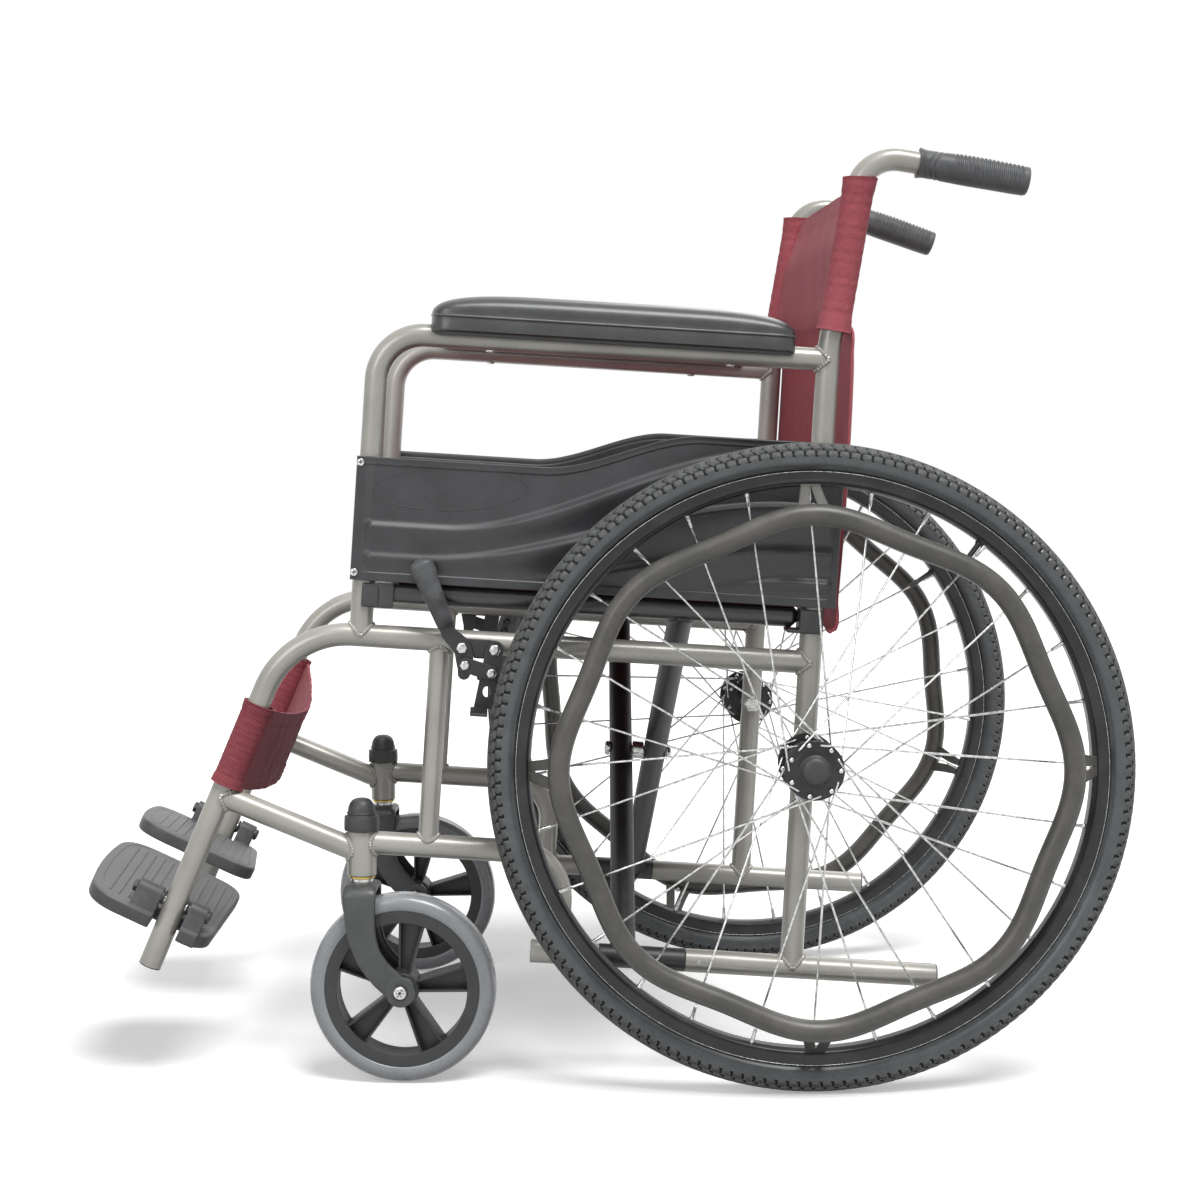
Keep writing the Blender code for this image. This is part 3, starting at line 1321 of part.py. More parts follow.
def build():
    clear_scene()
    finishes = {name: make_finish(name) for name in FINISHES}
    chair = Body("chair", Vector())
    right_frame = Body("right_frame", Vector(), chair)
    brace_a_pivot = at((SLEEVE_FRONT_A + SLEEVE_REAR_A) / 2, BOTTOM_RAIL_B, -FRAME_X)
    brace_a = Body("brace_a_hinge", brace_a_pivot, right_frame)
    brace_b = Body("brace_b_hinge", scissor_centre((BRACE_A_A + BRACE_B_A) / 2), brace_a)
    left_pivot = at((SLEEVE_FRONT_A + SLEEVE_REAR_A) / 2, BOTTOM_RAIL_B, FRAME_X)
    left_frame = Body("left_frame_hinge", left_pivot, brace_b)

    build_side("right", SIDES["right"], right_frame, finishes)
    build_side("left", SIDES["left"], left_frame, finishes)
    brace_a.carry("cross_brace_a", cross_brace(-FRAME_X, BRACE_A_A), finishes["black_paint"])
    brace_a.carry("centre_bolt", centre_bolt(), finishes["zinc"])
    brace_b.carry("cross_brace_b", cross_brace(FRAME_X, BRACE_B_A), finishes["black_paint"])
    brace_a.carry("seat_upholstery", seat_upholstery(), finishes["burgundy_nylon"])
    right_frame.carry("back_upholstery", back_upholstery(), finishes["burgundy_nylon"])
    right_frame.carry("calf_strap", calf_strap(), finishes["burgundy_nylon"])
    centre_chair(chair)


build()
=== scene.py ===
"""Finishes the folding wheelchair, from welded side frames to sewn slings, in the order of its assembly."""

import json
import math

import bpy
import numpy as np
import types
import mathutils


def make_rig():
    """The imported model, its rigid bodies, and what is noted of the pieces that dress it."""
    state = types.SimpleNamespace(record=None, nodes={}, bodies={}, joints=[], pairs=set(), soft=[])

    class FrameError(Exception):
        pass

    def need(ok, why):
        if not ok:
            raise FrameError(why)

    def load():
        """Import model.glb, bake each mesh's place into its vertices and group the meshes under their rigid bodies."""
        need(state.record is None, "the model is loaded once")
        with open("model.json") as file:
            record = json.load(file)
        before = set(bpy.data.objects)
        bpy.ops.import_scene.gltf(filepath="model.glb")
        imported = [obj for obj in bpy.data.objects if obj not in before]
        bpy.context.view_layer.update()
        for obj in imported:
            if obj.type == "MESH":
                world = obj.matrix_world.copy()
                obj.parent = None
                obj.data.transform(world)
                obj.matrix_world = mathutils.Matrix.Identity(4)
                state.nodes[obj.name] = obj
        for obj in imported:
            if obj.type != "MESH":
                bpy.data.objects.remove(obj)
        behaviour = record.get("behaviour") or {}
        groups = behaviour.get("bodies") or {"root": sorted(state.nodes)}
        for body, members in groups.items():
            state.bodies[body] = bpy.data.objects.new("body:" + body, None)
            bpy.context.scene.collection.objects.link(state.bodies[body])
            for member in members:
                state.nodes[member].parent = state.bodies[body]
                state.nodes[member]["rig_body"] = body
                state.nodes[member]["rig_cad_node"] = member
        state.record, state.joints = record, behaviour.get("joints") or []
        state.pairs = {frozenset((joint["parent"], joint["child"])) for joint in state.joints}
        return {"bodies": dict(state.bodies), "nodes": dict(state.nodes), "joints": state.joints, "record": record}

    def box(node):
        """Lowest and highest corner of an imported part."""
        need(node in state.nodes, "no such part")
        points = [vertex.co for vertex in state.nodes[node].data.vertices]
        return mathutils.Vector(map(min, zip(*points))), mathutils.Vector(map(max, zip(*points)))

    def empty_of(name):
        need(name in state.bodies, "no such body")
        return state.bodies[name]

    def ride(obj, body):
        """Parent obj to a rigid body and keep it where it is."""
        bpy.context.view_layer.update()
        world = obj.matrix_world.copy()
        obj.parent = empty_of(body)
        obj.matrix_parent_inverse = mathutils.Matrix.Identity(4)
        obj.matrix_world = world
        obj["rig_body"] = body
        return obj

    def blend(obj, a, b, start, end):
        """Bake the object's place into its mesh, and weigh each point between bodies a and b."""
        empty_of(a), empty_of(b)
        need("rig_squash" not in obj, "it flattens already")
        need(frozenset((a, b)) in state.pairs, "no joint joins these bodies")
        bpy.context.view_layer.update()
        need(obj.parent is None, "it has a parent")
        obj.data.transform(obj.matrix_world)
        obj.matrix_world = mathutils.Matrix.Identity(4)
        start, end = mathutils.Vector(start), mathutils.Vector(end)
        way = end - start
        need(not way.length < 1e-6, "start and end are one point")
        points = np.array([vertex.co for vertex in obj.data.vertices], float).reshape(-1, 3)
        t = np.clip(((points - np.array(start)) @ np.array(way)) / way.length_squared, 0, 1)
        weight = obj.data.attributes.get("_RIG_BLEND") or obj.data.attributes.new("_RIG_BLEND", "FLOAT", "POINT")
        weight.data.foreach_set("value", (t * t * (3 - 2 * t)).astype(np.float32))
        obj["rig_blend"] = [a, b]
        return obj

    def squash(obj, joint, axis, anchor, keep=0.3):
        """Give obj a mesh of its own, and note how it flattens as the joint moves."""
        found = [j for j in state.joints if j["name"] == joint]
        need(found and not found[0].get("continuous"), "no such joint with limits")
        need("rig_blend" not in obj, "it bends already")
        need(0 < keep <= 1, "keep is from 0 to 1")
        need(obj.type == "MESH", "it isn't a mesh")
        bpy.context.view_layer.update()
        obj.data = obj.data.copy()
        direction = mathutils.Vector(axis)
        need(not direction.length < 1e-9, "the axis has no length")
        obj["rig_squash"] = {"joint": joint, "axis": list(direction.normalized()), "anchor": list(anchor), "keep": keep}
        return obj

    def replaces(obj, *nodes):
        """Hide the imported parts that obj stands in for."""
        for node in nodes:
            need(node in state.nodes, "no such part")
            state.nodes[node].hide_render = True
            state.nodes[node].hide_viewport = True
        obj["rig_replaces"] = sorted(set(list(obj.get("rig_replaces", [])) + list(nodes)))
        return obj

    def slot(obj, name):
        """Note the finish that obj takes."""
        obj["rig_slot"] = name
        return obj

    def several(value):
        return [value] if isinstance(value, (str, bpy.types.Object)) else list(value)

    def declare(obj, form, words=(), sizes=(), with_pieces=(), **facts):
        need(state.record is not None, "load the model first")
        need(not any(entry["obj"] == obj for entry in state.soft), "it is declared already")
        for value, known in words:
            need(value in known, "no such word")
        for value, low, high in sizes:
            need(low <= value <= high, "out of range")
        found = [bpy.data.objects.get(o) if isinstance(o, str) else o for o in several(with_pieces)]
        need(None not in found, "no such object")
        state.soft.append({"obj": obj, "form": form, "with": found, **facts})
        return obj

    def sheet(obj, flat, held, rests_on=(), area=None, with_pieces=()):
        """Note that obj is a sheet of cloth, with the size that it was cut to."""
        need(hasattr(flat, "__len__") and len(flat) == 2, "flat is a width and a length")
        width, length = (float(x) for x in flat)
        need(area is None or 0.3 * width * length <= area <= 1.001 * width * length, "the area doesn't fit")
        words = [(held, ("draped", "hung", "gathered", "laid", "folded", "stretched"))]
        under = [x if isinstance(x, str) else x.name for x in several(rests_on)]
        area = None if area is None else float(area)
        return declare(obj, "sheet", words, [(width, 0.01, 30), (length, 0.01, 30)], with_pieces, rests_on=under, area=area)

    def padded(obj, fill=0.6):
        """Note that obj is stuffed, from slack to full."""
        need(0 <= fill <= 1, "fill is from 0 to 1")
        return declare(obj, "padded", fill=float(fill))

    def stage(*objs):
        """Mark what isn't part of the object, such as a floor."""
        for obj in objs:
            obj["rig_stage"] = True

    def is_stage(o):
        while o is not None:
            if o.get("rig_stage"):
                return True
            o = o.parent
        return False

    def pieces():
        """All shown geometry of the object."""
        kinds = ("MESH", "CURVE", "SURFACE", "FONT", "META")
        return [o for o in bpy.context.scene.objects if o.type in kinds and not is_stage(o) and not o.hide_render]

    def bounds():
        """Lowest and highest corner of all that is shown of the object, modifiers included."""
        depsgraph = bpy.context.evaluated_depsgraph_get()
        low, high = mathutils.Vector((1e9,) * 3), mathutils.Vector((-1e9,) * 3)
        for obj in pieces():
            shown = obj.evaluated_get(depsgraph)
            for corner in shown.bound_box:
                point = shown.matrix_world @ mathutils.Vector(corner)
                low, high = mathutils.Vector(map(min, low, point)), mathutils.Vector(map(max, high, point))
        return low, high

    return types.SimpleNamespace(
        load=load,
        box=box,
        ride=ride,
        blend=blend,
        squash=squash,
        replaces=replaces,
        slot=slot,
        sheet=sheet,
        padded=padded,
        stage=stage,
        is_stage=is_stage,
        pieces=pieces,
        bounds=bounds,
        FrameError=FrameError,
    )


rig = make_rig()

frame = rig.load()
solid_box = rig.bounds()

# Side frames
# Two weldments of 22 mm steel tube that lean back 4 degrees. The tubes are bent cold, mitred and welded
# all round, and the whole side is painted a satin champagne grey afterwards.
tilt = math.radians(4)
frame_x = 0.230
wheel_r = 0.305
tube_r = 0.0111
bottom_rail_b, seat_rail_b, armrest_rail_b = -0.201, 0.093, 0.3855
barrel_y, barrel_foot, barrel_top, barrel_r = -0.427, 0.197, 0.240, 0.014
tyre_low, tyre_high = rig.box("tyre_left")
axle_y = (tyre_low[1] + tyre_high[1]) / 2
sides = {"left": 1, "right": -1}


def place(a, b, x=0.0):
    """Points of the chair: a runs back along the rails, b up square to them and x out from the middle.

    y = axle_y + a cos(tilt) + b sin(tilt), z = wheel_r + b cos(tilt) - a sin(tilt)
    """
    a, b, x = (np.asarray(v, float) for v in np.broadcast_arrays(a, b, x))
    c, s = math.cos(tilt), math.sin(tilt)
    return np.stack([x, axle_y + a * c + b * s, wheel_r + b * c - a * s], axis=-1)


def unit(v):
    """Each vector divided by its length."""
    v = np.asarray(v, float)
    return v / np.linalg.norm(v, axis=-1, keepdims=True)


x_axis, y_axis, z_axis = np.eye(3)
along_rails = unit(place(1, 0) - place(0, 0))
up_rails = unit(place(0, 1) - place(0, 0))


def bent(corners, radii, step=math.radians(4)):
    """Straight runs between corners, with an arc in place of each inner one.

    The arc turns from its first radius p to its last q: (p sin((1 - t) w) + q sin(t w)) / sin(w).
    """
    corners = np.asarray(corners, float)
    runs = [corners[:1]]
    for before, corner, after, radius in zip(corners, corners[1:], corners[2:], radii):
        back, on = unit(before - corner), unit(after - corner)
        turn = math.pi - math.acos(float(back @ on))
        centre = corner + unit(back + on) * radius / math.cos(turn / 2)
        p, q = (corner + way * radius * math.tan(turn / 2) - centre for way in (back, on))
        t = np.linspace(0, 1, max(4, round(turn / step)))[:, None] * turn
        runs.append(centre + (p * np.sin(turn - t) + q * np.sin(t)) / math.sin(turn))
    return np.concatenate([*runs, corners[-1:]])


def lengths(points):
    """Distance along a line of points from its first one."""
    return np.concatenate([[0], np.cumsum(np.linalg.norm(np.diff(points, axis=0), axis=1))])


def swept(path, radius, around=36, reference=x_axis, loop=False):
    """A round section carried along a path: path + radius (across cos t + third sin t).

    across is the reference square to the path, third square to both. radius may vary along and around.
    """
    path = np.asarray(path, float)
    ahead = unit(np.roll(path, -1, 0) - np.roll(path, 1, 0) if loop else np.gradient(path, axis=0))
    reference = np.broadcast_to(reference, path.shape)
    across = unit(reference - (reference * ahead).sum(1, keepdims=True) * ahead)
    third = np.cross(ahead, across)
    t = np.linspace(0, math.tau, around, endpoint=False)
    rows = np.reshape(radius, np.shape(radius) + (1,) * (2 - np.ndim(radius)))
    radius = np.broadcast_to(rows, (len(path), around))
    ring = across[:, None] * np.cos(t)[:, None] + third[:, None] * np.sin(t)[:, None]
    return path[:, None] + ring * radius[..., None]


def eased(profile, radius=0.0006, steps=4, loop=False):
    """Each corner p of a profile rounded: p + r ((1 - t)^2 back + t^2 on) for t from 0 to 1."""
    p = np.asarray(profile, float)
    back, on = np.roll(p, 1, 0) - p, np.roll(p, -1, 0) - p
    lb, lo = (np.linalg.norm(v, axis=1, keepdims=True) for v in (back, on))
    r = np.minimum(np.reshape(radius, (-1, 1)), 0.48 * np.minimum(lb, lo))
    t = np.linspace(0, 1, steps)[None, :, None]
    curve = p[:, None] + ((1 - t) ** 2 * (back / lb * r)[:, None] + t**2 * (on / lo * r)[:, None])
    if loop:
        return curve.reshape(-1, p.shape[1])
    return np.concatenate([p[:1], curve[1:-1].reshape(-1, p.shape[1]), p[-1:]])


def turned(profile, origin, axis, around=48, start=0.0, reference=None):
    """A profile of (distance, radius) turned about an axis: origin + axis d + r (u cos t + v sin t)."""
    axis = unit(axis)
    if reference is None:
        reference = x_axis if abs(axis[0]) < 0.7 else y_axis
    u = unit(reference - (reference @ axis) * axis)
    v = np.cross(axis, u)
    d, r = np.asarray(profile, float).T
    t = start + np.linspace(0, math.tau, around, endpoint=False)
    ring = u * np.cos(t)[:, None] + v * np.sin(t)[:, None]
    return np.asarray(origin, float) + axis * d[:, None, None] + ring * r[:, None, None]


def plate(outline, low, high, bevel=0.0004, steps=4):
    """A flat outline given a thickness, with rounded rims: r (1 - sin t) inside at height r (1 - cos t)."""
    outline = np.asarray(outline, float)
    low, high = np.asarray(low, float), np.asarray(high, float)
    normal = unit(high - low)
    ahead = unit(np.roll(outline, -1, 0) - np.roll(outline, 1, 0))
    inward = np.cross(normal, ahead)
    span = float(np.linalg.norm(high - low))
    spin = np.cross(outline - outline.mean(0), np.roll(outline, -1, 0) - outline).sum(0) @ normal
    inward *= 1 if spin > 0 else -1
    t = np.linspace(0, math.pi / 2, steps)
    rise, draw = bevel * (1 - np.cos(t)), bevel * (1 - np.sin(t))
    share = np.concatenate([rise, span - rise[::-1]]) / span
    draw = np.concatenate([draw, draw[::-1]])
    return outline + inward * draw[:, None, None] + low + (high - low) * share[:, None, None]


def skin(points, loop=False, ring=True, finish=0, caps=True):
    """Faces over a grid of points: ring closes its columns, loop its rows, and caps its two open ends."""
    points = np.asarray(points, float)
    m, n = points.shape[:2]
    i, j = np.arange(m if loop else m - 1)[:, None], np.arange(n if ring else n - 1)
    p, q = (i + 1) % m, (j + 1) % n
    quads = np.stack([i * n + j, p * n + j, p * n + q, i * n + q], axis=-1).reshape(-1, 4)
    s = lengths(points[:, 0])
    t = lengths(points[m // 2])
    s = np.append(s, s[-1] + np.linalg.norm(points[-1, 0] - points[0, 0]))
    t = np.append(t, t[-1] + np.linalg.norm(points[m // 2, -1] - points[m // 2, 0]))
    corner = [(i, j), (i + 1, j), (i + 1, j + 1), (i, j + 1)]
    uv = [np.stack(np.broadcast_arrays(s[a], t[b]), axis=-1) for a, b in corner]
    uv = np.stack(uv, axis=2).reshape(-1, 2)
    flat = points.reshape(-1, 3)
    faces = quads.tolist()
    near = flat - flat.mean(0)
    a, b, c, d = (near[quads[:, k]] for k in range(4))
    volume = (np.cross(b, c) * a).sum() + (np.cross(c, d) * a).sum()
    if caps and ring and not loop:
        for row, order in ((0, np.arange(n)), (m - 1, np.arange(n)[::-1])):
            rim = row * n + order
            faces.append(rim.tolist())
            uv = np.concatenate([uv, np.stack([np.full(n, s[row]), t[order]], axis=-1)])
            volume += (np.cross(near[rim[1:-1]], near[rim[2:]]) * near[rim[0]]).sum()
    if volume < 0:
        starts = np.cumsum([0] + [len(f) for f in faces])
        uv = np.concatenate([uv[x:y][::-1] for x, y in zip(starts, starts[1:])])
        faces = [f[::-1] for f in faces]
    return flat, faces, uv, np.full(len(faces), finish)


def slab(points, thickness, finish=0):
    """A closed sheet between a grid of points and the same grid moved by a thickness along its normals."""
    points = np.asarray(points, float)
    m, n = points.shape[:2]
    normal = unit(np.cross(np.gradient(points, axis=0), np.gradient(points, axis=1)))
    both = np.concatenate([points, (points + normal * np.asarray(thickness)[..., None])[:, ::-1]], axis=1)
    flat, faces, uv, kind = skin(both, finish=finish, caps=False)
    ends = []
    for row in (0, m - 1):
        k = np.arange(n - 1)
        strip = np.stack([k, k + 1, 2 * n - 2 - k, 2 * n - 1 - k], axis=-1) + row * 2 * n
        ends += (strip[:, ::-1] if row else strip).tolist()
    ends = [f[::-1] for f in ends] if faces[0][0] else ends
    uv = np.concatenate([uv, np.zeros((4 * len(ends), 2))])
    return flat, faces + ends, uv, np.full(len(faces) + len(ends), finish)


def second(skins):
    """The same skins in their piece's next finish."""
    return [(points, faces, uv, kind + 1) for points, faces, uv, kind in skins]


def spun(profile, origin, axis, around=40, easing=0.0006, finish=0, loop=False):
    """The skin of a profile that is eased and then turned about an axis; loop closes its section."""
    return skin(turned(eased(profile, easing, loop=loop), origin, axis, around), loop=loop, finish=finish)


def piece(name, skins, body, finishes, slot, replaces=(), sharp=38):
    """One object from several skins, shaded smooth except across sharp edges, that rides on a body."""
    starts = np.cumsum([0] + [len(s[0]) for s in skins])
    mesh = bpy.data.meshes.new(name)
    faces = [[v + int(start) for v in face] for start, s in zip(starts, skins) for face in s[1]]
    mesh.from_pydata(np.concatenate([s[0] for s in skins]).tolist(), [], faces)
    mesh.uv_layers.new(name="UVMap").data.foreach_set("uv", np.concatenate([s[2] for s in skins]).ravel())
    for finish in finishes if isinstance(finishes, (list, tuple)) else [finishes]:
        mesh.materials.append(finish)
    mesh.polygons.foreach_set("material_index", np.concatenate([s[3] for s in skins]).astype(np.int32))
    mesh.shade_smooth()
    mesh.set_sharp_from_angle(angle=math.radians(sharp))
    mesh.update()
    obj = bpy.data.objects.new(name, mesh)
    bpy.context.scene.collection.objects.link(obj)
    if body:
        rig.ride(obj, body)
    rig.slot(obj, slot)
    if replaces:
        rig.replaces(obj, *replaces)
    return obj


class Wire:
    """One value in a material. Python arithmetic on it adds Math nodes, and node() adds any other node."""

    def __init__(self, tree, socket=None):
        self.tree, self.socket = tree, socket

    def node(self, kind, settings=None, inputs=None, output=0):
        """Adds a node: its settings first (a ramp's as stops), then a value or a wire for each socket."""
        made = self.tree.nodes.new(kind)
        for name, value in (settings or {}).items():
            if name != "stops":
                setattr(made, name, value)
                continue
            elements = made.color_ramp.elements
            while len(elements) < len(value):
                elements.new(0.5)
            for element, (spot, colour) in zip(elements, value):
                element.position, element.color = spot, (*colour, 1)
        for name, value in (inputs or {}).items():
            if isinstance(value, Wire):
                self.tree.links.new(value.socket, made.inputs[name])
            else:
                made.inputs[name].default_value = value
        return Wire(self.tree, made.outputs[output])

    def maths(self, operation, *values):
        return self.node("ShaderNodeMath", {"operation": operation}, dict(enumerate(values)))

    def __add__(self, other):
        return self.maths("ADD", self, other)

    def __sub__(self, other):
        return self.maths("SUBTRACT", self, other)

    def __rsub__(self, other):
        return self.maths("SUBTRACT", other, self)

    def __mul__(self, other):
        return self.maths("MULTIPLY", self, other)

    __radd__, __rmul__ = __add__, __mul__

    def step(self, start, end, low=0.0, high=1.0):
        """Goes smoothly from low to high as the wire goes from start to end."""
        values = dict(enumerate((self, start, end, low, high)))
        return self.node("ShaderNodeMapRange", {"interpolation_type": "SMOOTHSTEP"}, values)

    def mix(self, first, second):
        """A colour between two, by this wire."""
        inputs = {0: self, 6: first, 7: second}
        return self.node("ShaderNodeMix", {"data_type": "RGBA"}, inputs, 2)

    def bump(self, height, strength=1.0):
        """Turns this wire, as a height in shares of the given metres, into a normal."""
        return self.node("ShaderNodeBump", None, {"Height": self, "Distance": height, "Strength": strength})


def paint(red, green, blue):
    """A colour given in screen values from 0 to 255, as the linear colour that renders as it."""
    c = np.array([red, green, blue]) / 255
    linear = np.where(c <= 0.04045, c / 12.92, ((c + 0.055) / 1.055) ** 2.4)
    return (*(float(v) for v in linear), 1.0)


def finish(name, surface, **fixed):
    """A material: fixed values go on the shader's sockets, and surface(wire) returns what varies."""
    material = bpy.data.materials.new(name)
    material.use_nodes = True
    tree = material.node_tree
    shader = tree.nodes["Principled BSDF"]
    for socket, value in fixed.items():
        shader.inputs[socket.replace("_", " ")].default_value = value
    for socket, value in surface(Wire(tree)).items():
        tree.links.new(value.socket, shader.inputs[socket])
    return material


def noise(wire, scale, detail=3.0, coordinates="Object", stretch=None, roughness=0.5):
    """Noise from 0 to 1 with this many grains to the metre, on the object's or the surface's coordinates."""
    spot = wire.node("ShaderNodeTexCoord", output=coordinates)
    if stretch:
        spot = wire.node("ShaderNodeMapping", None, {"Vector": spot, "Scale": stretch})
    inputs = {"Vector": spot, "Scale": scale, "Detail": detail, "Roughness": roughness}
    return wire.node("ShaderNodeTexNoise", None, inputs)


def satin_paint(wire):
    """Fine metal flake, soft unevenness in the gloss, and the slight orange peel of sprayed paint."""
    flake = noise(wire, 2600, 1.0)
    cloud = noise(wire, 14, 3.0)
    scuff = noise(wire, 90, 5.0, roughness=0.7).step(0.62, 0.74)
    tone = (flake * 0.5 + cloud * 0.5).step(0.3, 0.7)
    return {
        "Base Color": tone.mix(paint(152, 150, 143), paint(182, 180, 172)),
        "Roughness": cloud * 0.10 + flake * 0.05 + scuff * 0.05 + 0.27,
        "Normal": (noise(wire, 320, 2.0) * 0.8 + flake * 0.2).bump(0.00006, 0.7),
    }


def mottled(
    dark, light, gloss=(0.2, 0.5), spots=(220, 4.0, 0.6), fade=(0.3, 0.75), grain=None, bump=(0.00005, 0.4)
):
    """A surface in spots that fade from dark to light, with a roughness and a height that follow them.

    spots is their noise's scale, detail and roughness, fade where they turn light, and gloss the roughness
    that they add and its least. grain is a finer noise's scale and detail and its share of the height.
    bump is the height in metres and its strength.
    """

    def surface(wire):
        cloud = noise(wire, *spots[:2], roughness=spots[2])
        height = cloud
        if grain:
            scale, detail, share = grain
            height = noise(wire, scale, detail)
            if share < 1:
                height = height * share + cloud * (1 - share)
        return {
            "Base Color": (cloud.step(*fade) if fade else cloud).mix(dark, light),
            "Roughness": cloud * gloss[0] + gloss[1],
            "Normal": height.bump(*bump),
        }

    return surface


soot = finish("tube_plug", mottled(paint(38, 38, 39), paint(54, 54, 54)))
rivet_steel = finish(
    "rivet_steel", mottled(paint(150, 151, 152), paint(190, 190, 188), (0.2, 0.25)), Metallic=0.8
)
champagne = finish("satin_champagne_paint", satin_paint, Metallic=0.2, Coat_Weight=0.3, Coat_Roughness=0.15)


def weld(foot, branch, main, branch_r=tube_r, main_r=tube_r, size=0.0021):
    """A rippled bead round a branch tube where it meets the main one.

    The bead runs through foot + r (u cos t + v sin t) + k branch, with k from the quadratic that puts the
    point main_r away from the main tube's axis. Its own radius ripples by a sixth.
    """
    branch, main = unit(branch), unit(main)
    t = np.linspace(0, math.tau, 150, endpoint=False)[:, None]
    u = unit(main - (main @ branch) * branch)
    v = np.cross(branch, u)
    q = branch_r * (u * np.cos(t) + v * np.sin(t))
    q_off = q - (q @ main)[:, None] * main
    d_off = branch - (branch @ main) * main
    a, b, c = d_off @ d_off, q_off @ d_off, (q_off**2).sum(1) - main_r**2
    k = (-b + np.sqrt(np.maximum(b * b - a * c, 0))) / a
    path = np.asarray(foot, float) + q + k[:, None] * branch
    radius = size * (1 + 0.16 * np.cos(30 * t[:, 0]) + 0.08 * np.cos(7 * t[:, 0]))
    return skin(swept(path, radius, 8, unit(q), loop=True), loop=True)


def open_tube(path, radius, wall=0.0016, depth=0.012):
    """A tube along a path whose last end is open: the cut edge is eased, then its rings go back inside."""
    rings = swept(path, radius, 40)
    on, inner = unit(path[-1] - path[-2]), radius - wall
    steps = [
        (-0.0006, radius), (0, radius - 0.0005), (0, inner + 0.0004), (-0.0005, inner), (-depth, inner)
    ]
    d, r = np.array(steps).T
    end = path[-1] + on * d[:, None, None] + (rings[-1] - path[-1]) * (r / radius)[:, None, None]
    return skin(np.concatenate([rings[:-1], end]))


hanger_corner, hanger_foot = place(-0.5030, seat_rail_b), place(-0.6175, -0.237)
up_hanger = unit(hanger_corner - hanger_foot)
armrest_a, front_post_a, front_post_r = -0.434, -0.357, 0.0096
sleeve_front_a, sleeve_rear_a, spindle_r = -0.186, -0.103, 0.0080
base_front_a, base_rear_a, drop_a, strut_on_hanger = -0.252, 0.139, -0.226, 0.1777
cane_lean, cane_bend_b, cane_length = math.radians(6.5), 0.395, 0.1925
handle_slopes = {"right": 15.5, "left": 6.0}


def on_hanger(distance, x=0.0):
    """Points of the footrest hanger's centre line, up from its lower end."""
    distance, x = (np.asarray(v, float)[..., None] for v in (distance, x))
    return hanger_foot + up_hanger * distance + x_axis * x


def at_barrel(z):
    """a and b of the caster barrel's axis at this height."""
    b = barrel_y * math.sin(tilt) + (z - wheel_r) * math.cos(tilt)
    return (barrel_y - b * math.sin(tilt)) / math.cos(tilt), b


def cane_path(x):
    """Rear post, cane and handle as one bent tube, and the corner and heading of the handle."""
    slope = math.radians(handle_slopes["left" if x > 0 else "right"])
    corner = place(cane_length * math.sin(cane_lean), cane_bend_b + cane_length * math.cos(cane_lean), x)
    heading = place(math.cos(slope), -math.sin(slope)) - place(0, 0)
    ends = [place(0, bottom_rail_b + 0.004, x), place(0, cane_bend_b, x), corner, corner + heading * 0.150]
    return bent(ends, (0.150, 0.037)), corner, heading


